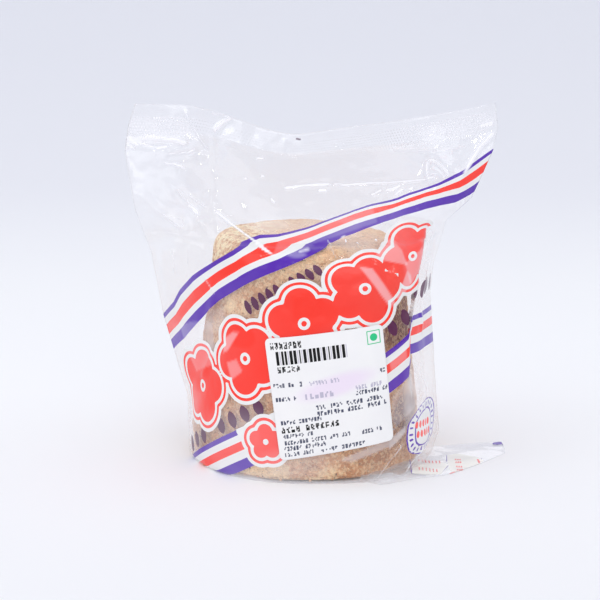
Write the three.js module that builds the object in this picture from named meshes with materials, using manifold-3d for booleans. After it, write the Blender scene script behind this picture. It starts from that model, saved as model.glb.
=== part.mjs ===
// A lump of cane jaggery in a clear, heat-sealed film bag, with a square paper label on its front.
// Millimetres, +Z up. The front faces -Y and +X is to the right of it. The origin is at the middle
// of the bounding box's bottom, and the lump's base lies on the plane z = 0.
import * as THREE from 'three';
import { mergeVertices } from 'three/addons/utils/BufferGeometryUtils.js';
import Module from 'manifold-3d';

// The lump: a blunt cone cast in a round mould, standing on its wide end.
const LUMP = {
  baseRadius: 50.5, // widest, from the floor up to the waist
  waistHeight: 14,
  shoulderRadius: 42, // where the rounded top edge starts
  shoulderHeight: 84,
};

// The bag: a tube of thin film, sealed flat across its top.
const BAG = {
  clearance: 0.8, // film to lump, with its small wrinkles
  baseRound: 3.5, // radius of the edge where the film turns under the lump
  cornerHeight: 153, // the two top corners
  sealDip: 14, // how far the sealed edge sags between them
  sealDipX: -2.5, // where it is lowest
  sealShoulderX: -56, // left of here the sealed edge is level
  sealHeight: 12, // width of the flat sealed strip
  sealThickness: 1.2, // two layers of film and the waves pressed into them
  sealLeanBack: 8, // the strip stands behind the lump's axis
  sealWave: 4, // swing of the strip to front and back, seen from above
  sealWavePitch: 104,
  shoulderSoftness: 0.12, // share of the slope over which the film bends away from the lump
  settleHeight: 100, // above this the rings follow the sagging edge
};

// The side folds of the tube stand out from the lump as fins. Each pair is a height and the
// fold's distance from the lump's axis there.
const LEFT_FIN = [
  [0, 51],
  [26, 52],
  [62, 62.2],
  [88, 67],
  [108, 74],
  [132, 78.3],
  [144, 76.5],
  [153, 73.5],
];
const RIGHT_FIN = [
  [0, 54],
  [13, 58],
  [30, 56.5],
  [72, 54],
  [84, 55.5],
  [103, 61],
  [113, 71.5],
  [133, 81],
  [142, 83.2],
  [153, 82],
];

// In front and to the right the film is pulled flat from the label to the side fold, so its
// plan there is a squarer oval than the lump's.
const FLAT_FRONT = {
  exponent: 3,
  insideFold: 2.5, // the oval ends this far inside the fold
};

// The bag's bottom corner that lies flat on the floor, to the right of the lump.
const EAR = {
  thickness: 0.6,
  outline: [
    [34, -41],
    [45, -37.5],
    [71, -24],
    [87, 0],
    [88.3, 14],
    [60.5, 4],
    [34, -2],
  ],
};

// The paper label, stuck on the film right of the lump's axis and turned a little.
const LABEL = {
  side: 50,
  cornerRadius: 2.2,
  thickness: 0.3,
  gap: 0.5,
  across: 10.3, // its middle, along the film to the right of the lump's axis
  height: 38.8,
  turn: THREE.MathUtils.degToRad(7),
};

// Mesh counts.
const LINE_STEPS = 4; // along a fin, from its fold to where the film meets the lump
const ARC_STEPS = 9; // from there round to the front or back
const BODY_LEVELS = 9;
const SLOPE_LEVELS = 13;
const SEAL_LEVELS = 3;
const BASE_ROUND_STEPS = 3;
const LABEL_RINGS = 8;
const LABEL_SIDE_STEPS = 8;
const LABEL_CORNER_STEPS = 3;

const COLOURS = {
  film: 0xd9c3a8,
  label: 0xf4f4f2,
};

const { clamp, lerp, smoothstep } = THREE.MathUtils;

/** Straight interpolation in a list of [height, distance] pairs. */
function along(pairs, height) {
  const last = pairs.length - 1;
  if (height >= pairs[last][0]) return pairs[last][1];
  const next = Math.max(1, pairs.findIndex(([level]) => level > height));
  const [lowHeight, lowValue] = pairs[next - 1];
  const [highHeight, highValue] = pairs[next];
  return lerp(lowValue, highValue, clamp((height - lowHeight) / (highHeight - lowHeight), 0, 1));
}

/** The lump's radius from its base up to its shoulder. */
function lumpRadius(height) {
  const share = clamp((height - LUMP.waistHeight) / (LUMP.shoulderHeight - LUMP.waistHeight), 0, 1);
  return lerp(LUMP.baseRadius, LUMP.shoulderRadius, share);
}

/** Height of the sealed top edge at x. */
function sealEdge(x) {
  const fall = x < BAG.sealDipX
    ? smoothstep(x, BAG.sealShoulderX, BAG.sealDipX)
    : 1 - (x - BAG.sealDipX) / (along(RIGHT_FIN, BAG.cornerHeight) - BAG.sealDipX);
  return BAG.cornerHeight - BAG.sealDip * clamp(fall, 0, 1);
}

/** A ramp from 0 to 1 whose start is rounded off over the given softness. */
function softRamp(share, softness) {
  const rounded = (share + softness) ** 2 / (4 * softness);
  return clamp(Math.abs(share) < softness ? rounded : share, 0, 1);
}

/**
 * Plan of the bag at one level: an oval round the lump, or round the air above it, and the
 * distance of the two side folds.
 */
function section(level) {
  const slope = BAG.cornerHeight - BAG.sealHeight - LUMP.shoulderHeight;
  const share = Math.min(1, (level - LUMP.shoulderHeight) / slope);
  const rise = softRamp(share, BAG.shoulderSoftness);
  const lift = Math.max(0, BAG.baseRound - level);
  const round = BAG.baseRound - Math.sqrt(BAG.baseRound ** 2 - lift ** 2);
  const left = along(LEFT_FIN, level) - round;
  const right = along(RIGHT_FIN, level) - round;
  const radius = lumpRadius(level) + BAG.clearance - round;
  const halfSeal = BAG.sealThickness / 2;
  return {
    left,
    right,
    middle: lerp(0, (right - left) / 2, rise),
    halfWidth: lerp(radius, (left + right) / 2 - 1, rise ** 1.3),
    halfDepth: lerp(radius, halfSeal, rise),
    flatness: 1 - rise,
    back: BAG.sealLeanBack * rise,
    wave: BAG.sealWave * rise ** 2,
  };
}

/**
 * Points from one side fold to the crown of the front or back, without the crown itself.
 * The film runs straight from the fold to the oval, then round it.
 */
function quarter(plan, side, face) {
  const reach = side < 0 ? plan.left + plan.middle : plan.right - plan.middle;
  const flat = side > 0 && face < 0 ? plan.flatness : 0;
  const power = lerp(2, FLAT_FRONT.exponent, flat);
  const halfWidth = lerp(plan.halfWidth, reach - FLAT_FRONT.insideFold, flat);
  const oval = (angle) => [
    halfWidth * Math.cos(angle) ** (2 / power),
    plan.halfDepth * Math.sin(angle) ** (2 / power),
  ];
  const touch = Math.min(1, halfWidth / reach) ** (1 / (power - 1));
  const turnIn = Math.acos(touch ** (power / 2));
  const meet = oval(turnIn);
  const points = [];
  for (let step = 0; step < LINE_STEPS; step += 1) {
    const share = step / LINE_STEPS;
    points.push([lerp(reach, meet[0], share), lerp(0, meet[1], share)]);
  }
  for (let step = 0; step < ARC_STEPS; step += 1) {
    points.push(oval(lerp(turnIn, Math.PI / 2, step / ARC_STEPS)));
  }
  return points.map(([x, y]) => [plan.middle + side * x, face * y]);
}

/** The front of a level in plan, from the left fold to the right one. */
function frontLine(plan) {
  return [
    ...quarter(plan, -1, -1),
    [plan.middle, -plan.halfDepth],
    ...quarter(plan, 1, -1).slice(1).reverse(),
  ];
}

/** One closed ring of the bag, counter-clockwise from above, starting at the left fold. */
function ring(level) {
  const plan = section(level);
  const flat = [
    ...frontLine(plan),
    ...quarter(plan, 1, 1),
    [plan.middle, plan.halfDepth],
    ...quarter(plan, -1, 1).slice(1).reverse(),
  ];
  return flat.map(([x, y]) => {
    const above = Math.max(0, level - BAG.settleHeight) / (BAG.cornerHeight - BAG.settleHeight);
    const z = level - above * (BAG.cornerHeight - sealEdge(x));
    const swing = plan.wave * Math.cos((2 * Math.PI * (x - BAG.sealDipX)) / BAG.sealWavePitch);
    return new THREE.Vector3(x, y + plan.back + swing, z);
  });
}

/** The heights at which rings are made, close together where the film turns. */
function levels() {
  const steps = [];
  const span = (from, to, count) => {
    for (let step = 0; step < count; step += 1) steps.push(lerp(from, to, step / count));
  };
  for (let step = 0; step < BASE_ROUND_STEPS; step += 1) {
    steps.push(BAG.baseRound * (1 - Math.cos((step / BASE_ROUND_STEPS) * (Math.PI / 2))));
  }
  const sealStart = BAG.cornerHeight - BAG.sealHeight;
  span(BAG.baseRound, LUMP.shoulderHeight, BODY_LEVELS);
  span(LUMP.shoulderHeight, sealStart, SLOPE_LEVELS);
  span(sealStart, BAG.cornerHeight, SEAL_LEVELS);
  return [...steps, BAG.cornerHeight];
}

/** The faces between rings that follow each other in one list of points. */
function wallFaces(ringCount, size) {
  const faces = [];
  for (let row = 0; row + 1 < ringCount; row += 1) {
    for (let column = 0; column < size; column += 1) {
      const a = row * size + column;
      const b = row * size + ((column + 1) % size);
      faces.push(a, b, b + size, a, b + size, a + size);
    }
  }
  return faces;
}

/** Shuts the ring that begins at start with a fan, whose hub is added to the points. */
function fanFaces(points, start, size, facesUp) {
  const hub = points.length;
  const sum = points.slice(start, start + size)
    .reduce((total, point) => total.add(point), new THREE.Vector3());
  points.push(sum.divideScalar(size));
  const faces = [];
  for (let column = 0; column < size; column += 1) {
    const a = start + column;
    const b = start + ((column + 1) % size);
    faces.push(hub, ...(facesUp ? [a, b] : [b, a]));
  }
  return faces;
}

/** Shuts a thin ring point to point, from its front edge straight over to its back one. */
function ribbonFaces(start, size) {
  const faces = [];
  for (let column = 0; column < size / 2; column += 1) {
    const front = start + column;
    const back = start + ((size - column) % size);
    const nextBack = start + size - column - 1;
    if (front !== back) faces.push(front, front + 1, back);
    if (front + 1 !== nextBack) faces.push(front + 1, nextBack, back);
  }
  return faces;
}

/** Joins rings of equal length into a closed body. Its top is shut by a fan, or as a ribbon. */
function loft(rings, ribbonTop = false) {
  const size = rings[0].length;
  const points = rings.flat();
  const lastRing = points.length - size;
  const faces = [
    ...wallFaces(rings.length, size),
    ...fanFaces(points, 0, size, false),
    ...(ribbonTop ? ribbonFaces(lastRing, size) : fanFaces(points, lastRing, size, true)),
  ];
  const geometry = new THREE.BufferGeometry().setFromPoints(points);
  geometry.setIndex(faces);
  return geometry;
}

/** The corner of the bag on the floor, a flat leaf of film. */
function earGeometry() {
  const shape = new THREE.Shape(EAR.outline.map(([x, y]) => new THREE.Vector2(x, y)));
  return new THREE.ExtrudeGeometry(shape, { depth: EAR.thickness, bevelEnabled: false });
}

/** The point of a level's front that lies a given way along the film from the lump's axis. */
function onFilm(level, across, lift) {
  const line = frontLine(section(level)).map(([x, y]) => new THREE.Vector2(x, y));
  const axis = line.findIndex(({ x }) => x > 0) - 1;
  const lengths = line.slice(1).map((point, index) => point.distanceTo(line[index]));
  const zero = lerp(0, lengths[axis], -line[axis].x / (line[axis + 1].x - line[axis].x));
  let left = lengths.slice(0, axis).reduce((sum, length) => sum + length, zero) + across;
  let index = 0;
  while (left > lengths[index]) {
    left -= lengths[index];
    index += 1;
  }
  const way = line[index + 1].clone().sub(line[index]).normalize();
  const out = new THREE.Vector2(way.y, -way.x).multiplyScalar(lift);
  return line[index].clone().addScaledVector(way, left).add(out);
}

/** A point on the label's plane, given in its own axes, laid on the front of the bag. */
function onFront(across, up, lift) {
  const level = LABEL.height + across * Math.sin(LABEL.turn) + up * Math.cos(LABEL.turn);
  const sideways = LABEL.across + across * Math.cos(LABEL.turn) - up * Math.sin(LABEL.turn);
  const { x, y } = onFilm(level, sideways, lift);
  return new THREE.Vector3(x, y, level);
}

/** The label's rounded square outline, counter-clockwise, as a fraction of its full size. */
function labelOutline(share) {
  const half = LABEL.side / 2;
  const inner = half - LABEL.cornerRadius;
  const points = [];
  for (let corner = 0; corner < 4; corner += 1) {
    const start = (corner * Math.PI) / 2;
    const centre = new THREE.Vector2(inner, inner).rotateAround(new THREE.Vector2(), start);
    for (let step = 0; step <= LABEL_CORNER_STEPS; step += 1) {
      const angle = start + ((Math.PI / 2) * step) / LABEL_CORNER_STEPS;
      const arm = new THREE.Vector2(LABEL.cornerRadius, 0).rotateAround(new THREE.Vector2(), angle);
      points.push(centre.clone().add(arm));
    }
    for (let step = 1; step < LABEL_SIDE_STEPS; step += 1) {
      const drop = (2 * inner * step) / LABEL_SIDE_STEPS;
      const side = new THREE.Vector2(inner - drop, half).rotateAround(new THREE.Vector2(), start);
      points.push(side);
    }
  }
  return points.map((point) => point.multiplyScalar(share));
}

/** The label: a thin sheet bent round the bag, made of rings out from its middle. */
function labelGeometry() {
  const rings = [];
  const sheet = (share, lift) => labelOutline(share).map(({ x, y }) => onFront(x, y, lift));
  for (let step = 1; step <= LABEL_RINGS; step += 1) {
    rings.push(sheet(step / LABEL_RINGS, LABEL.gap));
  }
  for (let step = LABEL_RINGS; step >= 1; step -= 1) {
    rings.push(sheet(step / LABEL_RINGS, LABEL.gap + LABEL.thickness));
  }
  return loft(rings);
}

/** A closed three.js geometry as a manifold-3d solid. */
function solidOf(wasm, geometry) {
  const bare = geometry.clone();
  bare.deleteAttribute('normal');
  bare.deleteAttribute('uv');
  const merged = mergeVertices(bare, 1e-4);
  return new wasm.Manifold(new wasm.Mesh({
    numProp: 3,
    vertProperties: new Float32Array(merged.getAttribute('position').array),
    triVerts: new Uint32Array(merged.index.array),
  }));
}

/** A manifold-3d solid as a three.js geometry. */
function geometryOf(solid) {
  const mesh = solid.getMesh();
  const geometry = new THREE.BufferGeometry();
  geometry.setAttribute('position', new THREE.BufferAttribute(mesh.vertProperties, 3));
  geometry.setIndex(new THREE.BufferAttribute(mesh.triVerts, 1));
  return geometry;
}

/** A named mesh with its own material. */
function piece(name, geometry, color, roughness) {
  geometry.computeVertexNormals();
  const mesh = new THREE.Mesh(
    geometry,
    new THREE.MeshStandardMaterial({ color, roughness, metalness: 0 }),
  );
  mesh.name = name;
  return mesh;
}

const wasm = await Module();
wasm.setup();

const body = solidOf(wasm, loft(levels().map(ring), true));
const ear = solidOf(wasm, earGeometry());

const pack = new THREE.Group();
pack.add(piece('bag', geometryOf(body.add(ear)), COLOURS.film, 0.15));
pack.add(piece('label', labelGeometry(), COLOURS.label, 0.6));

// Everything is drawn round the lump's axis, and then moved so that the origin is at the middle
// of the bounding box.
const box = new THREE.Box3().setFromObject(pack);
const centre = box.getCenter(new THREE.Vector3());
pack.position.set(-centre.x, -centre.y, -box.min.z);

export default pack;
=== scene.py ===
"""A lump of cane jaggery in a clear, printed, heat-sealed film bag with a square paper label.

Sizes are in millimetres round the lump's own upright axis, with the front towards -Y, until
place() turns them into the frame's metres.
"""

from __future__ import annotations

import itertools
import logging
import math
import random
from collections.abc import Callable, Iterable, Sequence
from dataclasses import dataclass
from enum import Enum
from functools import partial

import bpy
import numpy as np
from bpy.types import ID, Material, Mesh, NodeSocket, NodeTree, Object
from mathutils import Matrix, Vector, geometry

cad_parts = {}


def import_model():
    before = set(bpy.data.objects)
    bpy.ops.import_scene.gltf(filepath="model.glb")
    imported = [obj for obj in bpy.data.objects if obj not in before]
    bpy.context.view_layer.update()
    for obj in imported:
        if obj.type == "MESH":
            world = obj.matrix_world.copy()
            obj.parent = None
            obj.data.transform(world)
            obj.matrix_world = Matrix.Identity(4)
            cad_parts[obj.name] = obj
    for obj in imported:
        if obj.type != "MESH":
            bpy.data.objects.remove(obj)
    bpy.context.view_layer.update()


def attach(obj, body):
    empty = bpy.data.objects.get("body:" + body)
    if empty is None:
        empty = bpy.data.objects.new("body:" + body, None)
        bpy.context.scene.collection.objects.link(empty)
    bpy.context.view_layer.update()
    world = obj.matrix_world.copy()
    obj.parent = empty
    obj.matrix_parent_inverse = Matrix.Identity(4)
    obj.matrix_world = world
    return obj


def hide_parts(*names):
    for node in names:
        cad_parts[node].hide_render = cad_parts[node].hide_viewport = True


LOG = logging.getLogger("jaggery_bag")
MM = 0.001
AXIS_IN_FRAME = np.array([-5.0, 0.375, 0.0])  # the lump's axis, from the frame's origin
Pair = tuple[float, float]
Triple = tuple[float, float, float]
Faces = list[tuple[int, ...]]
Array = np.ndarray


# ---- small tools


def place(points: Array) -> Array:
    """Points in mm round the lump's axis, as metres in the frame."""
    return (points + AXIS_IN_FRAME) * MM


def linear(code: str, alpha: float = 1.0) -> tuple[float, float, float, float]:
    """An sRGB hex colour as linear values.

    Args:
        code: Six hex digits.
        alpha: The fourth value.

    Returns:
        Red, green, blue and alpha.
    """
    channels = []
    for start in (0, 2, 4):
        value = int(code[start : start + 2], 16) / 255
        channels.append(value / 12.92 if value <= 0.04045 else ((value + 0.055) / 1.055) ** 2.4)
    return (*channels, alpha)


def smooth(value: Array | float, low: float, high: float) -> Array:
    """0 below low, 1 above high, and an S-shaped rise between them."""
    share = np.clip((np.asarray(value, float) - low) / (high - low), 0, 1)
    return share * share * (3 - 2 * share)


def table(pairs: Sequence[Pair], at: Array | float) -> Array:
    """Straight interpolation in a list of (place, value) pairs."""
    rows = np.array(pairs, float)
    return np.interp(at, rows[:, 0], rows[:, 1])


def grain(points: Array, size: float, seed: int) -> Array:
    """Smooth noise in space.

    Args:
        points: An array whose last axis holds x, y and z.
        size: The width of one lump of the noise, in the points' own unit.
        seed: Picks the pattern.

    Returns:
        Values from -1 to 1.
    """
    scaled = points / size
    cell = np.floor(scaled).astype(np.int64)
    part = scaled - cell
    part = part * part * (3 - 2 * part)
    total = np.zeros(points.shape[:-1])
    for corner in itertools.product((0, 1), repeat=3):
        spot = cell + np.array(corner)
        mixed = spot[..., 0] * 374761393 + spot[..., 1] * 668265263 + spot[..., 2] * 1442695041
        mixed = (mixed + seed * 1274126177) & 0xFFFFFFFF
        mixed = ((mixed ^ (mixed >> 13)) * 1274126177) & 0xFFFFFFFF
        mixed ^= mixed >> 16
        weight = np.prod(np.where(np.array(corner) == 1, part, 1 - part), axis=-1)
        total += weight * (mixed / 0x7FFFFFFF - 1)
    return total


@dataclass
class Sheet:
    """Places on a sheet, or on the film as it lies unrolled: x across it and y along it."""

    x: Array
    y: Array

    def grain(self, size: float, seed: int, squeeze: float = 1.0) -> Array:
        """Smooth noise on the sheet, as grain() gives it in space."""
        points = np.stack([self.x, self.y * squeeze, np.zeros_like(self.x)], axis=-1)
        return grain(points, size, seed)

    def seen_from(self, x: float, y: float, turn: float = 0.0) -> Sheet:
        """The same places from another origin.

        Args:
            x: The origin's place across the sheet.
            y: Its place along it.
            turn: How far its axes are turned.

        Returns:
            The places along those axes.
        """
        across, up = self.x - x, self.y - y
        cos, sin = math.cos(turn), math.sin(turn)
        return Sheet(across * cos + up * sin, up * cos - across * sin)


def add_node(
    tree: NodeTree,
    kind: str,
    inputs: dict[str | int, object] | None = None,
    out: str | int = 0,
    stops: Sequence[tuple[float, tuple[float, ...]]] = (),
    **settings: object,
) -> NodeSocket | None:
    """Adds a node with its settings and links.

    Args:
        tree: The tree it goes into.
        kind: The node's type, where a shader node's goes without its first words.
        inputs: For each socket's name or number, an output to link or a value to set. None
            leaves the socket as it is.
        out: The name or number of the wanted output.
        stops: For a colour ramp, its places and colours.
        settings: The node's own properties.

    Returns:
        The output, if the node has one.
    """
    family = "" if kind.startswith(("Geometry", "Function", "Node")) else "ShaderNode"
    node = tree.nodes.new(family + kind)
    for name, value in settings.items():
        setattr(node, name, value)
    for key, value in (inputs or {}).items():
        if isinstance(value, NodeSocket):
            tree.links.new(value, node.inputs[key])
        elif value is not None:
            node.inputs[key].default_value = value
    if stops:
        for spot, _ in stops[2:]:  # a new ramp has two stops
            node.color_ramp.elements.new(spot)
        for element, (spot, colour) in zip(node.color_ramp.elements, stops):
            element.position, element.color = spot, colour
    return node.outputs[out] if len(node.outputs) else None


def new_material(name: str) -> tuple[Material, Callable[..., NodeSocket]]:
    """An empty node material.

    Args:
        name: Its name.

    Returns:
        The material, and add_node() for its tree.
    """
    material = bpy.data.materials.new(name)
    material.use_nodes = True
    material.node_tree.nodes.clear()
    return material, partial(add_node, material.node_tree)


def put(name: str, data: ID) -> Object:
    """A new object at the origin, linked to the scene.

    Args:
        name: Its name.
        data: Its mesh, light or camera.

    Returns:
        The object.
    """
    made = bpy.data.objects.new(name, data)
    bpy.context.scene.collection.objects.link(made)
    return made


def new_mesh(
    name: str,
    points: Array,
    faces: Iterable[Sequence[int]] = (),
    fields: dict[str, Array] | None = None,
) -> Mesh:
    """A mesh that keeps numbers or vectors at its vertices.

    Args:
        name: Its name.
        points: Its vertices in mm round the lump's axis.
        faces: Its faces, seen counter-clockwise from outside.
        fields: A value for each vertex, or a row of three.

    Returns:
        The mesh.
    """
    mesh = bpy.data.meshes.new(name)
    mesh.from_pydata(place(points).tolist(), [], [tuple(map(int, face)) for face in faces])
    for key, values in (fields or {}).items():
        kind, word = ("FLOAT_VECTOR", "vector") if values.ndim > 1 else ("FLOAT", "value")
        kept = mesh.attributes.new(key, kind, "POINT")
        kept.data.foreach_set(word, values.astype(np.float32).ravel())
    return mesh


def make_object(
    name: str,
    points: Array,
    faces: Iterable[Sequence[int]],
    material: Material,
    fields: dict[str, Array] | None = None,
) -> Object:
    """A smooth-shaded mesh object at the origin.

    Args:
        name: The piece's name.
        points: Its vertices in mm round the lump's axis.
        faces: Its faces, seen counter-clockwise from outside.
        material: Its finish.
        fields: Numbers kept at each vertex for the material to read.

    Returns:
        The object, linked to the scene.
    """
    mesh = new_mesh(name, points, faces, fields)
    mesh.materials.append(material)
    mesh.polygons.foreach_set("use_smooth", [True] * len(mesh.polygons))
    mesh.update()
    return put(name, mesh)


def strip_faces(rows: int, columns: int, closed: bool) -> Faces:
    """Quads between the rows of a grid.

    Args:
        rows: How many rows there are.
        columns: How many points each has.
        closed: Whether the last column is joined to the first.

    Returns:
        The quads.
    """
    last = columns if closed else columns - 1
    index = np.arange(rows * columns).reshape(rows, columns)
    left, right = index[:, :last], np.roll(index, -1, axis=1)[:, :last]
    quads = np.stack([left[:-1], right[:-1], right[1:], left[1:]], axis=-1)
    return [tuple(quad) for quad in quads.reshape(-1, 4).tolist()]


def zip_rows(near: Sequence[int], far: Sequence[int]) -> Faces:
    """Triangles between two chains of points, which may differ in number and share their ends.

    Args:
        near: The numbers of one chain's points.
        far: Those of the other, to the left of the first as one walks along it.

    Returns:
        The triangles, counter-clockwise.
    """
    made = []
    here = there = 0
    last, last_far = len(near) - 1, len(far) - 1
    while here < last or there < last_far:
        if there == last_far or (here < last and (here + 1) / last <= (there + 1) / last_far):
            corners = (near[here], near[here + 1], far[there])
            here += 1
        else:
            corners = (near[here], far[there + 1], far[there])
            there += 1
        if len(set(corners)) == 3:
            made.append(corners)
    return made


def lengths(line: Array) -> Array:
    """How far along a line, as seen from above, each of its points lies."""
    return np.r_[0, np.cumsum(np.hypot(*np.diff(line[:, :2], axis=0).T))]


def respaced(line: Array, count: int, at: Array | None = None) -> Array:
    """A line of points with another number of them.

    Args:
        line: The points.
        count: How many are wanted.
        at: What they are spaced evenly by, such as their lengths(), or None for their order.

    Returns:
        The new points.
    """
    at = np.arange(len(line)) if at is None else at
    spots = np.linspace(0, at[-1], count)
    return np.stack([np.interp(spots, at, axis) for axis in line.T], axis=-1)


def by_row(at: Array, places: Array, values: Array) -> Array:
    """Straight interpolation in each row of two grids on its own."""
    return np.array([np.interp(*rows) for rows in zip(at, places, values)])


# ---- finishes


FAR = 19.0  # a distance in mm that is well outside every mark
STRIPES = (0.0, 0.25, 0.45, 0.675, 0.84)  # where a band's five stripes begin, as shares of it
RIMS = (1.3, 1.35, 1.5)  # the widths of the white, red and white rims round a printed blossom


@dataclass(frozen=True)
class JaggeryFinish:
    """Cane jaggery cast in a mould: boiled-down cane juice that has set to a crumbly, crystalline
    mass. It is dull and mottled, paler where its crust has dried and darker where it is moist."""

    pale: str = "DCA26C"
    body: str = "C27C40"
    moist: str = "B06C2C"
    deep: str = "7C341A"
    crust: str = "F4D2A2"
    dry: str = "FFF0C4"
    pit: str = "5A2A12"
    top: str = "E2B080"
    roughness: float = 0.62
    crystal: float = 1.3  # mm across, as are the lumps of each noise
    coarse: float = 24.0
    blotch: float = 6.0
    streak: float = 4.5
    crumb: float = 2.0
    fine: float = 0.9

    def make(self) -> Material:
        """Builds the material on object coordinates, with each pattern sized in mm.

        Returns:
            The material.
        """
        material, add = new_material("cane_jaggery_cast")
        here = add("TexCoord", out="Object")
        across, _, height = add("SeparateXYZ", {0: here}).node.outputs
        coarse, blotch, streak, crumb, fine = (
            add(
                "TexNoise",
                {"Vector": here, "Scale": 1 / (size * MM), "Detail": detail, "Roughness": rough},
            )
            for size, detail, rough in (
                (self.coarse, 2, 0.6),
                (self.blotch, 4, 0.7),
                (self.streak, 2, 0.6),
                (self.crumb, 2, 0.6),
                (self.fine, 1, 0.6),
            )
        )
        # Sugar crystals and crushed lumps, each with a tone of its own.
        crystal = add(
            "TexVoronoi",
            {"Vector": here, "Scale": 1 / (self.crystal * MM), "Detail": 1.0, "Randomness": 1.0},
        ).node.outputs
        tone = add("SeparateColor", {0: crystal["Color"]})
        streak = add("Math", {0: tone, 1: 0.4, 2: streak}, operation="MULTIPLY_ADD")
        rise = add("Math", {0: blotch, 1: -0.012, 2: height}, operation="MULTIPLY_ADD")
        # The left of the rim is paler, with streaks of dry and browner sugar.
        left_rim = 0.9
        for source, low, high in ((rise, 0.074, 0.084), (across, -0.008, -0.03)):
            left_rim = add(
                "MapRange",
                {"Value": source, "From Min": low, "From Max": high, "To Max": left_rim},
                interpolation_type="SMOOTHSTEP",
            )
        # The crust and the moist places that the lump carries, with uneven edges.
        placed = add("Attribute", out="Fac", attribute_name="tone")
        for source in (crumb, blotch):
            placed = add("Math", {0: source, 1: 1.1, 2: placed}, operation="MULTIPLY_ADD")
        patchy = add("Math", {0: placed, 1: 1.1}, operation="SUBTRACT")
        colour = linear(self.body)
        for source, low, high, most, stain in (
            (blotch, 0.34, 0.66, 1.0, self.pale),
            (patchy, -0.15, -0.75, 0.85, self.moist),
            (patchy, -1.1, -1.9, 0.85, self.deep),
            (patchy, 0.3, 0.8, 0.9, self.crust),
            (rise, 0.074, 0.084, 1.0, self.top),
            (streak, 0.76, 0.88, left_rim, self.dry),
            (streak, 0.64, 0.52, left_rim, self.body),
            (tone, 0.8, 0.95, 0.5, self.crust),
            (tone, 0.2, 0.02, 0.4, self.moist),
            (crumb, 0.62, 0.72, 0.6, self.crust),
            (crumb, 0.34, 0.27, 1.0, self.pit),
        ):
            share = add(
                "MapRange",
                {"Value": source, "From Min": low, "From Max": high, "To Max": most},
                interpolation_type="SMOOTHSTEP",
            )
            colour = add("Mix", {0: share, 6: colour, 7: linear(stain)}, 2, data_type="RGBA")
        value = {"Value": fine, "From Min": 0.3, "From Max": 0.7, "To Min": 0.85, "To Max": 1.15}
        shade = add("HueSaturation", {"Value": add("MapRange", value), "Color": colour})
        dull, moist = self.roughness + 0.16, self.roughness - 0.2
        rough = add("MapRange", {"Value": coarse, "To Min": dull, "To Max": moist})
        relief = None
        for source, depth, strength in (
            (crystal["Distance"], 0.6, 0.5),
            (crumb, 1.0, 0.6),
            (fine, 0.5, 0.7),
        ):
            relief = add(
                "Bump",
                {"Height": source, "Distance": depth * MM, "Strength": strength, "Normal": relief},
            )
        skin = {"Base Color": shade, "Roughness": rough, "Normal": relief, "IOR": 1.5}
        add("OutputMaterial", {"Surface": add("BsdfPrincipled", skin)})
        return material


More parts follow.
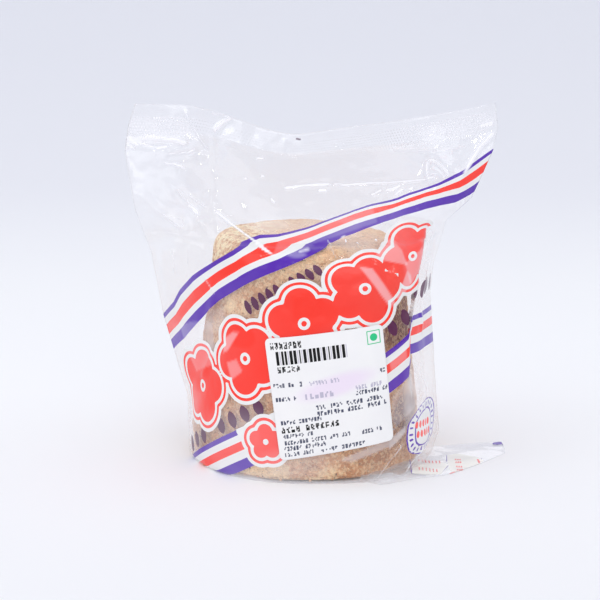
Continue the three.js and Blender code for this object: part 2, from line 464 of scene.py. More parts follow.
@dataclass(frozen=True)
class FilmFinish:
    """Blown polypropylene film, 40 microns thick, printed by flexography. It mirrors the lights and
    lets all else through, a little milky. Along its creases it has painted white highlight streaks,
    which also stand for the stress whitening of its folds, and some facets carry painted
    reflections. The inks are opaque and lie under the gloss."""

    purple: str = "4C00A8"
    red: str = "FA280C"
    white: str = "E9E9E7"
    word: str = "500040"
    cream: str = "FFFDF4"
    milk: str = "F7F6F9"
    clear: float = 0.995  # what one layer lets through
    gloss: float = 0.045
    mirror: float = 0.065
    mirror_edge: float = 0.75

    def make(self) -> Material:
        """Builds the material on the distance fields that the film carries.

        Returns:
            The material.
        """
        material, add = new_material("polypropylene_film_printed")
        none, word, cream = linear(self.white, 0.0), linear(self.word), linear(self.cream)
        purple, red, white = linear(self.purple), linear(self.red), linear(self.white)
        stripes = [(-9.0, none)]
        for start in (-3.0, 0.0):
            for share, colour in zip(STRIPES, (purple, white, red, white, purple)):
                stripes.append((start + share, colour))
            stripes.append((start + 1.0, none))
        stamp = [(0.0, white), (Stamp.ink, purple), (Stamp.ink_end, white)]
        stamp += [(Stamp.rim, purple), (Stamp.rim_end, none)]
        blossom = [(-20.0, red), (0.0, white)]
        for width, colour in zip(RIMS, (red, white, none)):
            blossom.append((blossom[-1][0] + width, colour))
        cut = add("Attribute", out="Fac", attribute_name="stripe_cut")
        # Each field becomes ink, with a hard edge between one colour and the next.
        colour, cover = none, add("Math", {0: cut, 1: 0.0}, operation="LESS_THAN")
        for name, low, high, stops in (
            ("stripe", -9.0, 2.0, stripes),
            ("panel", -5.0, 5.0, [(-5.0, white), (0.0, none)]),
            ("cream", -5.0, 5.0, [(-5.0, cream), (0.0, none)]),
            ("stamp", 0.0, 20.0, stamp),
            ("purple_mark", -5.0, 5.0, [(-5.0, word), (0.0, none)]),
            ("red_mark", -5.0, 5.0, [(-5.0, red), (0.0, none)]),
            ("blossom", -20.0, 20.0, blossom),
        ):
            value = add("Attribute", out="Fac", attribute_name=name)
            share = add("MapRange", {"Value": value, "From Min": low, "From Max": high})
            spots = [((spot - low) / (high - low), ink) for spot, ink in stops]
            inked = add("ValToRGB", {0: share}, stops=spots)
            inked.node.color_ramp.interpolation = "CONSTANT"
            alpha = inked.node.outputs["Alpha"]
            colour = add("Mix", {0: alpha, 6: colour, 7: inked}, 2, data_type="RGBA")
            join = "MULTIPLY" if name == "stripe" else "MAXIMUM"
            cover = add("Math", {0: cover, 1: alpha}, operation=join)
        here = add("TexCoord", out="Object")
        fine = {"Vector": here, "Scale": 1 / (5.0 * MM), "Detail": 3.0, "Roughness": 0.55}
        ripple = add("TexNoise", fine)
        bump = add("Bump", {"Height": ripple, "Distance": 0.6 * MM, "Strength": 0.35})
        ink = add(
            "BsdfPrincipled",
            {
                "Base Color": colour,
                "Roughness": 0.3,
                "Specular IOR Level": 0.2,
                "Coat Weight": 0.45,
                "Coat Roughness": self.gloss,
                "Normal": bump,
                "Coat Normal": bump,
            },
        )
        shine = {"Color": linear("FFFFFF"), "Roughness": self.gloss, "Normal": bump}
        # Schlick's rule, which is the same from both sides of the film. Its two faces each send
        # back the four hundredths that plastic does when seen straight on.
        facing = add("LayerWeight", {"Blend": 0.5, "Normal": bump}, "Facing")
        steep = add("Math", {0: facing, 1: 4.0}, operation="POWER")
        sent = {"Value": steep, "To Min": self.mirror, "To Max": self.mirror_edge}
        double = add("MapRange", sent)
        through = add("BsdfTransparent", {"Color": (self.clear, self.clear, self.clear, 1)})
        glossy = add("MixShader", {0: double, 1: through, 2: add("BsdfAnisotropic", shine)})
        solid, haze, sheen, worn = (
            add("Attribute", out="Fac", attribute_name=name)
            for name in ("ink", "haze", "sheen", "worn")
        )
        share = add("Math", {0: cover, 1: solid}, operation="MULTIPLY")
        printed = add("MixShader", {0: share, 1: glossy, 2: ink})
        # Film is milky where it stands off the lump, and whiter under painted reflections.
        bare = add("MapRange", {"Value": share, "To Min": 1.0, "To Max": 0.25})
        veil = add("Math", {0: haze, 1: bare, 2: sheen}, operation="MULTIPLY_ADD")
        # Painted highlight: a white line along each sharp crease, and its stress whitening.
        line = add(
            "MapRange",
            {"Value": worn, "From Max": 0.5, "To Max": 0.95},
            interpolation_type="SMOOTHSTEP",
        )
        milky = add("Math", {0: veil, 1: line}, operation="MAXIMUM")
        milk = add("BsdfDiffuse", {"Color": linear(self.milk)})
        add("OutputMaterial", {"Surface": add("MixShader", {0: milky, 1: printed, 2: milk})})
        return material


@dataclass(frozen=True)
class LabelFinish:
    """Coated thermal paper with a bright, faintly cool face and black heat-made print."""

    paper: str = "F2F1EF"
    shade: str = "E9E8E9"
    black: str = "030306"
    grey: str = "44485E"
    faded: str = "B9B4C6"
    green: str = "2FC382"
    stain: str = "EADCEC"
    roughness: float = 0.42

    def make(self) -> Material:
        """Builds the material on the distance fields that the label carries.

        Returns:
            The material.
        """
        material, add = new_material("thermal_paper_printed")
        here = add("TexCoord", out="Object")
        tone, fibre = (
            add("TexNoise", {"Vector": here, "Scale": 1 / (size * MM), "Detail": 2.0})
            for size in (14, 0.8)
        )
        smudge = add("Attribute", out="Fac", attribute_name="stain")
        inks = [(tone, self.shade), (smudge, self.stain)]
        for name in ("faded", "grey", "black", "green"):
            edge = add("Attribute", out="Fac", attribute_name=name)
            share = add("MapRange", {"Value": edge, "From Min": 0.09, "From Max": -0.05})
            inks.append((share, getattr(self, name)))
        colour = linear(self.paper)
        for share, ink in inks:
            colour = add("Mix", {0: share, 6: colour, 7: linear(ink)}, 2, data_type="RGBA")
        face = {
            "Base Color": colour,
            "Roughness": self.roughness,
            "Specular IOR Level": 0.2,
            "Normal": add("Bump", {"Height": fibre, "Distance": 0.1 * MM, "Strength": 0.2}),
        }
        add("OutputMaterial", {"Surface": add("BsdfPrincipled", face)})
        return material


@dataclass(frozen=True)
class SweepFinish:
    """A matt white paper sweep, with painted light: brightest behind the bag, cooler further back.
    """

    # Painted light: lighter round the bag and darker in front and further back, as light falls.
    tones: tuple[tuple[float, str], ...] = (  # metres behind the bag's middle
        (-0.3, "EFEFF0"), (0.1, "FBFBFB"), (0.35, "F9F9F9"), (0.7, "F1F1F4"), (1.3, "E1E2E8"),
        (1.6, "DBDDE4"),
    )

    def make(self) -> Material:
        """Builds the material on object coordinates.

        Returns:
            The material.
        """
        material, add = new_material("paper_sweep_matt")
        back = add("SeparateXYZ", {0: add("TexCoord", out="Object")}, "Y")
        near, far = self.tones[0][0], self.tones[-1][0]
        share = add("MapRange", {"Value": back, "From Min": near, "From Max": far})
        stops = [((spot - near) / (far - near), linear(code)) for spot, code in self.tones]
        colour = add("ValToRGB", {0: share}, stops=stops)
        face = {"Base Color": colour, "Roughness": 0.8, "Specular IOR Level": 0.2}
        add("OutputMaterial", {"Surface": add("BsdfPrincipled", face)})
        return material


# ---- the lump


@dataclass(frozen=True)
class Spot:
    """An oval place where something is stronger than elsewhere."""

    x: float
    y: float
    half_x: float
    half_y: float
    strength: float = 1.0

    def weight(self, at: Sheet) -> Array:
        """The strength in the middle of the place, falling to 0 outside it."""
        away = np.hypot((at.x - self.x) / self.half_x, (at.y - self.y) / self.half_y)
        return self.strength * smooth(away, 1.0, 0.55)


@dataclass
class Lump:
    """The lump of jaggery: a blunt cone cast in a round mould, standing on its wide end."""

    base_radius: float = 50.5
    base_round: float = 1.4
    waist: float = 14.0
    shoulder_radius: float = 42.0
    shoulder: float = 84.0
    top: float = 98.0
    edge_width: float = 10.5
    edge_power: float = 2.5
    top_tilt: float = 1.1
    base_gap: float = 0.8
    base_rings: int = 26
    foot_rings: int = 8
    wall_rings: int = 104
    edge_rings: int = 22
    lid_rings: int = 30
    columns: int = 400
    aside: float = 0.5
    # Layers of wear: how deep each goes, how wide its lumps are and its seed.
    layers: tuple[tuple[float, float, int], ...] = (
        (0.9, 26, 11), (0.5, 9, 12), (0.34, 3.6, 13), (0.2, 1.7, 14),
    )
    unworn: float = 0.9  # taken off their sum, so that some of the mould's skin is left
    deepest: float = 4.5
    # Dried crust above 0 and moist jaggery below 0, by x and height on the front.
    tones: tuple[Spot, ...] = (
        Spot(-19, 5, 14, 7, 1.3),
        Spot(-2, 3, 26, 6, 0.5),
        Spot(27, 10, 12, 6, -0.9),
        Spot(37, 17, 8, 7, -1.0),
        Spot(42, 25, 7, 9, -1.9),
        Spot(38, 63, 12, 14, -2.1),
        Spot(44, 40, 10, 16, -0.5),
        Spot(8, 86, 13, 10, -0.7),
        Spot(-8, 80, 34, 12, -0.3),
        Spot(-30, 74, 12, 7, 0.25),
        Spot(3, 6, 3.5, 1.3, -1.6),
        Spot(-6, 5.5, 2, 1.2, -1.4),
    )
    finish: JaggeryFinish = JaggeryFinish()

    def radius(self, height: Array | float) -> Array:
        """The mould's radius at a height, with the rounded top edge.

        Args:
            height: One height or more.

        Returns:
            The radii.
        """
        height = np.asarray(height, float)
        share = np.clip((height - self.waist) / (self.shoulder - self.waist), 0, 1)
        side = self.base_radius + (self.shoulder_radius - self.base_radius) * share
        rise = np.clip((height - self.shoulder) / (self.top - self.shoulder), 0, 1)
        power = self.edge_power
        return side - self.edge_width * (1 - (1 - rise**power) ** (1 / power))

    def profile(self) -> Array:
        """Radius and height of each ring, from the middle of the base to the middle of the top.

        Returns:
            A row for each ring.
        """
        inner, foot = self.base_radius - self.base_round, self.base_gap + self.base_round
        flat = np.linspace(2, inner, self.base_rings)
        turn = np.linspace(0.25, math.pi / 2, self.foot_rings)
        rise = np.sin(np.linspace(0.06, math.pi / 2, self.edge_rings))
        edge = self.shoulder + (self.top - self.shoulder) * rise
        wall = np.r_[np.linspace(2.9, self.shoulder, self.wall_rings), edge]
        lid = np.linspace(self.shoulder_radius - self.edge_width - 1, 1, self.lid_rings)
        radii = np.r_[flat, inner + self.base_round * np.sin(turn), self.radius(wall), lid]
        heights = np.r_[
            np.full_like(flat, self.base_gap),
            foot - self.base_round * np.cos(turn),
            wall,
            np.full_like(lid, self.top),
        ]
        return np.stack([radii, heights], axis=-1)

    def wear(self, points: Array, height: Array) -> Array:
        """How far crumbling has eaten each point in from the mould's shape, in mm.

        Args:
            points: The mould's points by ring and column.
            height: Each ring's height.

        Returns:
            The depths.
        """
        wear = np.full(points.shape[:-1], -self.unworn)
        for depth, size, seed in self.layers:
            wear += depth * (1 + grain(points, size, seed))
        # Pits, the crumbled foot, and grains that stand out.
        wear += 1.6 * smooth(grain(points, 6.5, 15), 0.42, 0.85)
        wear += np.clip(smooth(height, 16, 3) * (0.3 + 0.8 * grain(points, 5, 16)), 0, 0.7)
        wear -= 0.55 * smooth(grain(points, 11, 17), 0.1, 0.5)
        wear = np.clip(wear, 0, self.deepest)
        wear[: self.base_rings] *= 0.15
        return wear * (1 - 0.6 * smooth(points[..., 2], 88, 98))

    def build(self) -> Object:
        """Makes the lump, with its patches of crust and moist jaggery on its vertices.

        Returns:
            The lump.
        """
        profile = self.profile()
        angle = np.linspace(0, 2 * math.pi, self.columns, endpoint=False)
        way = np.gradient(profile, axis=0)
        way /= np.linalg.norm(way, axis=1, keepdims=True)
        points, out = (
            np.stack([r * np.cos(angle), r * np.sin(angle), z + 0 * angle], axis=-1)
            for r, z in ((profile[:, :1], profile[:, 1:]), (way[:, 1:], -way[:, :1]))
        )
        points = points - out * self.wear(points, profile[:, 1:])[..., None]
        tilt = -self.top_tilt * points[..., 0] / self.shoulder_radius
        points[..., 2] += tilt * smooth(points[..., 2], 60, 96)
        front = Sheet(points[..., 0], points[..., 2])
        tone = sum(spot.weight(front) for spot in self.tones)
        tone = tone * smooth(points[..., 1], 4, -8) + 0.45 * grain(points, 24, 18)
        tone += 0.35 * smooth(grain(points, 9, 19), 0.1, 0.6)
        points[..., 0] += self.aside
        count = points.shape[0] * self.columns
        faces = strip_faces(points.shape[0], self.columns, True)
        for column in range(self.columns):
            after, start = (column + 1) % self.columns, count - self.columns
            faces += [(count, after, column), (start + column, start + after, count + 1)]
        hubs = np.array([[0, 0, self.base_gap + 0.2], [0, 0, points[-1, :, 2].mean()]])
        shape = np.vstack([points.reshape(-1, 3), hubs])
        fields = {"tone": np.r_[tone.ravel(), 0, 0]}
        return make_object("jaggery_lump", shape, faces, self.finish.make(), fields)


# ---- the print


@dataclass(frozen=True)
class Blossom:
    """A plain flower of five round petals round a small eye."""

    x: float
    y: float
    radius: float
    turn: float
    petals: int = 5
    # Shares of the radius.
    heart: float = 0.5
    petal: float = 0.44
    petal_out: float = 0.56
    eye: float = 0.17

    def distance(self, at: Sheet) -> Array:
        """Signed distance in mm to its edge, less than 0 inside.

        Args:
            at: The points' places on the film.

        Returns:
            The distances.
        """
        own = at.seen_from(self.x, self.y)
        from_eye = np.hypot(own.x, own.y)
        found, out = from_eye - self.heart * self.radius, self.petal_out * self.radius
        for number in range(self.petals):
            angle = self.turn + number * 2 * math.pi / self.petals
            away = np.hypot(own.x - out * math.cos(angle), own.y - out * math.sin(angle))
            found = np.minimum(found, away - self.petal * self.radius)
        return np.maximum(found, self.eye * self.radius - from_eye)


@dataclass(frozen=True)
class Leaf:
    """One small pointed leaf of a printed row."""

    x: float
    y: float
    width: float
    height: float
    lean: float = 0.0

    def distance(self, at: Sheet) -> Array:
        """Signed distance in mm to its edge, less than 0 inside, from two crossing circles.

        Args:
            at: The points' places on the film.

        Returns:
            The distances.
        """
        own = at.seen_from(self.x, self.y, self.lean)
        half, tall = self.width / 2, self.height / 2
        radius = (half * half + tall * tall) / (2 * half)
        return np.hypot(np.abs(own.x) + radius - half, own.y) - radius


def beside(at: Sheet, start: Pair, end: Pair) -> tuple[Array, Array, Array]:
    """Where places lie beside a straight line.

    Args:
        at: The places.
        start: Where the line begins.
        end: Where it ends.

    Returns:
        The nearest point of the line, from 0 to 1 along it, the distance to that, and the side: 1
        on the left.
    """
    way = np.subtract(end, start)
    x, y = at.x - start[0], at.y - start[1]
    share = np.clip((x * way[0] + y * way[1]) / (way @ way), 0, 1)
    distance = np.hypot(x - share * way[0], y - share * way[1])
    return share, distance, np.sign(way[0] * y - way[1] * x)


@dataclass(frozen=True)
class Bar:
    """A small straight bar between two points."""

    start: Pair
    end: Pair
    width: float

    def distance(self, at: Sheet) -> Array:
        """Signed distance in mm to its edge, less than 0 inside."""
        return beside(at, self.start, self.end)[1] - self.width / 2


@dataclass(frozen=True)
class Area:
    """A filled shape with straight sides and no hollows, its corners counter-clockwise."""

    corners: tuple[Pair, ...]

    def distance(self, at: Sheet) -> Array:
        """Signed distance in mm to its edge, less than 0 inside.

        Args:
            at: The points' places on the film.

        Returns:
            The distances.
        """
        found = np.full(np.shape(at.x), -99.0)
        for start, end in zip(self.corners, self.corners[1:] + self.corners[:1]):
            way = np.subtract(end, start) / math.dist(start, end)
            found = np.maximum(found, way[1] * (at.x - start[0]) - way[0] * (at.y - start[1]))
        return found


Mark = Blossom | Leaf | Bar | Area


def nearest(marks: Sequence[Mark], at: Sheet) -> Array:
    """Signed distance to the nearest of several marks.

    Args:
        marks: The marks.
        at: The points' places on the film.

    Returns:
        The distances in mm, less than 0 inside a mark.
    """
    found = np.full(np.shape(at.x), FAR)
    for mark in marks:
        found = np.minimum(found, mark.distance(at))
    return found


def leaf_row(
    start: Pair, end: Pair, count: int, width: float, height: float, gap_after: int = -1
) -> list[Leaf]:
    """A row of leaves that stands on a slanted line.

    Args:
        start: The middle of the first leaf, across and along the film.
        end: The middle of the last one.
        count: How many there are.
        width: Each leaf's width.
        height: Each leaf's height.
        gap_after: The number of the leaf after which one place is left empty.

    Returns:
        The leaves.
    """
    places = np.array([n + (0 <= gap_after < n) for n in range(count)])
    way = np.subtract(end, start)
    spots = np.array(start) + np.outer(places / places[-1], way)
    return [Leaf(x, y, width, height, math.atan2(way[1], way[0])) for x, y in spots.tolist()]


# What the film's fields hold where there is no print, painted sheen or painted crease highlight.
BLANK = {
    "stripe": -1.0,
    "stripe_cut": 9.0,
    "panel": 9.0,
    "cream": 9.0,
    "stamp": FAR,
    "purple_mark": 9.0,
    "red_mark": 9.0,
    "blossom": 9.0,
    "haze": 0.1,
    "sheen": 0.0,
    "worn": -1.0,
    "ink": 1.0,
}


def blank(like: Array, **marks: Array) -> dict[str, Array]:
    """The film's fields, blank but for the ones that are given."""
    return {key: marks.get(key, np.full_like(like, value)) for key, value in BLANK.items()}


@dataclass(frozen=True)
class Stamp:
    """A round stamp: two rings, a row of dots between them and short bars inside.

    Its field goes from 0 in the middle to its edge's value at the outline. The sizes from ink to
    edge are the places in the field where the rings begin and end."""

    middle: Pair = (58.5, 21.5)
    half: Pair = (13.4, 10.6)
    lean: float = 0.26
    power: float = 2.5  # 2 would make it a plain oval
    dots: int = 24
    dots_out: float = 0.83
    ink: float = 7.5
    ink_end: float = 8.2
    dots_ink: float = 7.8
    dots_end: float = 11.2
    rim: float = 11.4
    rim_end: float = 12.1
    edge: float = 12.0
    dot_half: Pair = (0.7, 0.6)
    dot_width: float = 1.0
    bar_count: int = 5
    bar_left: float = -7.6
    bar_feet: Pair = (1.5, -2.4)
    bar_step: Pair = (3.1, -0.2)
    bar_way: Pair = (0.7, 0.9)
    bar_width: float = 2.0

    def oval(self, x: Array | float, y: Array | float) -> Array | float:
        """0 in the stamp's middle and 1 on its outline."""
        return (np.abs(x) ** self.power + np.abs(y) ** self.power) ** (1 / self.power)

    def rings(self, at: Sheet) -> Array:
        """The stamp's field, in which the dots have the number of the inner ring's ink.

        Args:
            at: The points' places on the film.

        Returns:
            The field at each point.
        """
        y = (at.y - self.middle[1]) / self.half[1]
        x = (at.x - self.middle[0]) / self.half[0] - self.lean * y
        ring = self.edge * self.oval(x, y)
        dots = []
        for step in range(self.dots):
            angle = 2 * math.pi * (step + 0.5) / self.dots
            cos, sin = math.cos(angle), math.sin(angle)
            out = self.dots_out / self.oval(cos, sin)
            x = self.middle[0] + out * self.half[0] * (cos + self.lean * sin)
            y = self.middle[1] + out * self.half[1] * sin
            half_x, half_y = self.dot_half[0] * cos, self.dot_half[1] * sin
            ends = (x - half_x, y - half_y), (x + half_x, y + half_y)
            dots.append(Bar(*ends, self.dot_width))
        dotted = np.maximum(self.ink_end + nearest(dots, at), self.dots_ink)
        return np.where(ring < self.dots_end, np.minimum(ring, dotted), ring)

    def bars(self) -> list[Bar]:
        """The short red bars inside it, in two slanted rows.

        Returns:
            The bars.
        """
        made = []
        for number, foot in itertools.product(range(self.bar_count), self.bar_feet):
            left = self.middle[0] + self.bar_left + self.bar_step[0] * number
            low = self.middle[1] + foot + self.bar_step[1] * number
            end = left + self.bar_way[0], low + self.bar_way[1]
            made.append(Bar((left, low), end, self.bar_width))
        return made


@dataclass(frozen=True)
class Print:
    """What is printed on the film, in mm across its front from the lump's axis and up along it."""

    band_top: tuple[Pair, ...] = (
        (-86, 60), (-79.7, 63.8), (-70.9, 70.6), (-66, 77), (-58, 84.3), (-47.8, 91.2),
        (-36.8, 99), (-27.7, 105.2), (-20, 109.2), (-12, 110), (-5.6, 112.2), (3, 115.6),
        (12, 119.6), (20.7, 123.2), (33.1, 127.1), (44.1, 130.6), (58.1, 134.4), (67.9, 138.6),
        (74.5, 142.8), (81.9, 147.5), (90, 152),
    )
    band_foot: tuple[Pair, ...] = (
        (-86, 43), (-78.6, 47.9), (-67.9, 54.7), (-54, 65.8), (-48.3, 70.6), (-42.8, 75),
        (-23, 86.6), (-12.8, 92.1), (-3, 97.6), (6.1, 103), (15.1, 107.8), (24.3, 112),
        (32.9, 115.8), (41.5, 118.6), (52.2, 120.7), (68, 121.6), (75.8, 125), (82, 130),
        (90, 134),
    )
    low_top: tuple[Pair, ...] = ((-90, -8.1), (46.4, 63.2), (47.4, 69.8), (90, 69.0))
    low_deep: tuple[Pair, ...] = ((-90, 19.0), (46.4, 18.4), (47.4, 16.2), (90, 15.6))
    # Where the upper band's colours change, as shares of its height, at places across it.
    band_edges: tuple[tuple[float, ...], ...] = (
        (-52, 0.25, 0.43, 0.66, 0.84),
        (-33, 0.24, 0.43, 0.65, 0.83),
        (-20, 0.28, 0.48, 0.74, 0.89),
        (-8, 0.37, 0.58, 0.77, 0.91),
        (20, 0.35, 0.57, 0.81, 0.92),
        (32, 0.31, 0.55, 0.77, 0.89),
        (40, 0.31, 0.57, 0.73, 0.86),
        (52, 0.34, 0.6, 0.76, 0.88),
        (63, 0.3, 0.53, 0.7, 0.84),
        (72, 0.25, 0.47, 0.7, 0.86),
    )
    panel_start: float = -26.8
    panel_end: float = 31.0
    tuck: tuple[Pair, ...] = (
        (20, 51.5), (36.6, 49.9), (44.9, 48.6), (56.2, 47.0), (64.5, 47.3), (72.9, 49.1),
        (82.7, 52.6), (93, 54.6), (101, 55.4), (112, 56),
    )
    tuck_hides: float = 16.0
    tuck_top: float = 110.0
    panel_slant: float = 0.523
    panel_half: float = 8.6
    stamp: Stamp = Stamp()
    blossoms: tuple[Blossom, ...] = (
        Blossom(-55.5, 37.0, 15.6, 0.2),
        Blossom(-27.0, 53.4, 15.2, 0.9),
        Blossom(-0.8, 69.8, 15.4, 0.5),
        Blossom(24.6, 84.4, 15.4, 0.1),
        Blossom(47.2, 98.2, 14.8, 0.75),
    )
    small_blossoms: tuple[Blossom, ...] = (
        Blossom(-17.2, 19.4, 7.6, 0.4), Blossom(3, 30, 7.6, 0.9),
    )
    back_blossoms: tuple[Blossom, ...] = (
        Blossom(-26, 34, 13.5, 0.2), Blossom(0, 37, 14, 0.8), Blossom(26, 40, 13.5, 0.5),
    )
    leaves: tuple[tuple[Pair, Pair, int, float, float, int], ...] = (  # as leaf_row() takes them
        ((-25.6, 75.2), (4.8, 93.6), 9, 3.1, 7.0, 4),
        ((-66, 9.6), (-20.5, 33.6), 7, 4.6, 7.6, 2),
        ((37.2, 66.8), (43.8, 70.4), 2, 4.4, 8.4, -1),
        ((52, 79.8), (74, 80.2), 4, 4.8, 8.4, -1),
    )
    fleck: Bar = Bar((-3.1, 165.4), (-1.4, 165.0), 0.8)
    back_middle: float = 66.0
    back_slope: float = 0.12
    back_height: float = 15.0
    back_half: float = 47.0

    def front(self, at: Sheet) -> dict[str, Array]:
        """The print of the front panel.

        Args:
            at: Each point's distances from the lump's axis and up the film.

        Returns:
            For each kind of mark, its field at each point.
        """
        tucked = (at.x > table(self.tuck, at.y)) & (at.y < self.tuck_top)
        low_top, deep = table(self.low_top, at.x), table(self.low_deep, at.x)
        low = 1 - (low_top - at.y) / deep
        run = at.x + self.panel_slant * (at.y - low_top + 9)
        ends = np.maximum(self.panel_start - run, run - self.panel_end)
        # The panel's height is measured square to its slant.
        sides = np.abs(low - 0.5) * deep * 0.886 - self.panel_half
        words = [self.fleck, *(leaf for row in self.leaves for leaf in leaf_row(*row))]
        return blank(
            at.y,
            stripe=self.stripes(at, low),
            stripe_cut=np.full_like(at.y, -9.0),
            panel=np.maximum(ends, sides),
            stamp=self.stamp.rings(at),
            purple_mark=nearest(words, at),
            red_mark=nearest(self.stamp.bars(), at),
            blossom=np.minimum(
                nearest(self.blossoms, Sheet(at.x + self.tuck_hides * tucked, at.y)),
                nearest(self.small_blossoms, at),
            ),
        )

    def stripes(self, at: Sheet, low: Array) -> Array:
        """The field of both bands: the upper goes from 0 to 1 and the lower from -3 to -2.

        Args:
            at: The points' places on the film.
            low: How far up the lower band each of them is, from 0 to 1.

        Returns:
            The field at each point.
        """
        foot, top = table(self.band_foot, at.x), table(self.band_top, at.x)
        high = (at.y - foot) / (top - foot)
        places, *shares = zip(*self.band_edges)
        edges = [0.0, *(np.interp(at.x, places, row) for row in shares), 1.0]
        even = np.minimum(high, 0) + np.maximum(high - 1, 0)
        starts = itertools.pairwise((*STRIPES, 1.0))
        for (start, end), (one, other) in zip(itertools.pairwise(edges), starts):
            even += (other - one) * np.clip((high - start) / (end - start), 0, 1)
        return np.where(high > -1, even, np.minimum(low - 3, -1))

    def back(self, at: Sheet) -> dict[str, Array]:
        """The print of the back panel: a shorter band over a row of blossoms, as front() gives.

        Args:
            at: The points' places on the film.

        Returns:
            For each kind of mark, its field at each point.
        """
        above = at.y - self.back_middle - self.back_slope * at.x
        leaves = leaf_row((-30, 12), (30, 16), 11, 2.8, 6.0, 5)
        return blank(
            at.y,
            stripe=np.clip(above / self.back_height + 0.5, -1, 1.9),
            stripe_cut=np.abs(at.x) - self.back_half,
            purple_mark=nearest(leaves, at),
            blossom=nearest(self.back_blossoms, at),
        )


# ---- the film


class Profile(Enum):
    """How the film stands up across a crease."""

    TENT = "a sharp ridge"
    SWELL = "a rounded ridge"
    STEP = "one side lies lower and comes up again further on"


@dataclass(frozen=True)
class Crease:
    """One crease of the film, drawn on the front in mm across and along it."""

    path: tuple[Pair, ...]
    height: float
    width: float
    white: float = 0.0
    line: float = 0.7
    fade: float = 3.0
    veil: float = 0.0
    profile: Profile = Profile.TENT

    def measure(self, at: Sheet) -> tuple[Array, Array, Array]:
        """Where each point of the film lies beside the crease.

        Args:
            at: The points' places on the film.

        Returns:
            The distance to the crease, the side of it, and how strong it is there.
        """
        away = np.full(at.x.shape, np.inf)
        side = along = np.zeros(at.x.shape)
        done = 0.0
        for start, end in zip(self.path, self.path[1:]):
            share, distance, left = beside(at, start, end)
            length = math.dist(start, end)
            nearer = distance < away
            away = np.where(nearer, distance, away)
            side = np.where(nearer, left, side)
            along = np.where(nearer, done + share * length, along)
            done += length
        return away, side, smooth(along, 0, self.fade) * smooth(done - along, 0, self.fade)

    def lift(self, at: Sheet) -> Array:
        """How far the crease lifts each point of the film, in mm.

        Args:
            at: The points' places on the film.

        Returns:
            The lifts.
        """
        away, side, ends = self.measure(at)
        if self.profile is Profile.TENT:
            shape = np.clip(1 - away / self.width, 0, 1) ** 1.5
        elif self.profile is Profile.SWELL:
            shape = np.exp(-((away / self.width) ** 2))
        else:
            shape = np.exp(-away / self.width) * np.where(side < 0, -1.0, 0.35)
        return self.height * ends * shape

    def worn(self, at: Sheet) -> Array:
        """How white the crease's painted highlight line, and its stress whitening, make the film.

        Args:
            at: The points' places on the film.

        Returns:
            More than 0 inside the line that it draws.
        """
        away, _, ends = self.measure(at)
        uneven = 0.8 + 0.3 * at.grain(6.0, 54)
        return np.maximum(self.white * ends * uneven * (1 - away / self.line), -1.0)

    def haze(self, at: Sheet) -> Array:
        """How milky the crease makes the film over its width, as a painted sheen."""
        away, _, ends = self.measure(at)
        return self.veil * ends * np.exp(-((away / self.width) ** 2))


@dataclass(frozen=True)
class Facet(Area):
    """A flat place in the film, with straight edges."""

    strength: float = 1.0

    def weight(self, at: Sheet) -> Array:
        """The strength inside the place and 0 outside it."""
        return self.strength * smooth(self.distance(at), 0.5, -0.5)


@dataclass(frozen=True)
class Patch(Spot):
    """A place where the film is crumpled into flat facets, its strength being their height."""

    spacing: float = 8.0
    seed: int = 31


def facets(at: Sheet, spacing: float, seed: int) -> Array:
    """A height from -1 to 1 made of flat triangles between scattered corners, as in film that has
    been crumpled.

    Args:
        at: The points' places on the film.
        spacing: The usual distance between corners.
        seed: Picks the corners.

    Returns:
        The height at each point.
    """
    draw = random.Random(seed)
    low_x, high_x = float(at.x.min()) - spacing, float(at.x.max()) + spacing
    low_y, high_y = float(at.y.min()) - spacing, float(at.y.max()) + spacing
    corners, heights = [], []
    for column in range(int((high_x - low_x) / spacing) + 2):
        for row in range(int((high_y - low_y) / spacing) + 2):
            x = low_x + (column + 0.5 * (row % 2) + draw.uniform(-0.36, 0.36)) * spacing
            y = low_y + (row + draw.uniform(-0.36, 0.36)) * spacing
            corners.append(Vector((x, y)))
            heights.append(draw.uniform(-1, 1))
    made = geometry.delaunay_2d_cdt(corners, [], [], 0, 1e-6)
    flat_x, flat_y = at.x.ravel(), at.y.ravel()
    order = np.argsort(flat_y)
    sorted_y = flat_y[order]
    result = np.zeros(flat_x.shape)
    for triangle in made[2]:
        points = np.array([made[0][i] for i in triangle])
        values = np.array([heights[made[3][i][0]] for i in triangle])
        first, last = np.searchsorted(sorted_y, [points[:, 1].min(), points[:, 1].max()])
        pick = order[first:last]
        pick = pick[(flat_x[pick] >= points[:, 0].min()) & (flat_x[pick] <= points[:, 0].max())]
        # The share that each corner has in each point, which is below 0 outside the triangle.
        known = np.stack([flat_x[pick], flat_y[pick], np.ones(len(pick))])
        shares = np.linalg.solve(np.vstack([points.T, np.ones(3)]), known)
        inside = (shares >= -1e-9).all(axis=0)
        result[pick[inside]] = (values @ shares)[inside]
    return result.reshape(at.x.shape)


@dataclass
class Plan:
    """The bag's outline at one level."""

    left: float
    right: float
    middle: float
    half_width: float
    half_depth: float
    flatness: float
    back: float
    wave: float
    fold: float


@dataclass
class Panel(Sheet):
    """The front or back of the smooth film, as rows of points from the floor to the seal. Its
    places are measured from the lump's axis and up the film."""

    face: int  # -1 for the front and 1 for the back
    grid: Array
    room: Array  # from each point in to the lump


def outward(grid: Array, face: int) -> Array:
    """Unit normals of a grid of points, away from the inside of the bag."""
    normal = np.cross(np.gradient(grid, axis=1), np.gradient(grid, axis=0)) * -face
    return normal / np.maximum(np.linalg.norm(normal, axis=-1, keepdims=True), 1e-9)


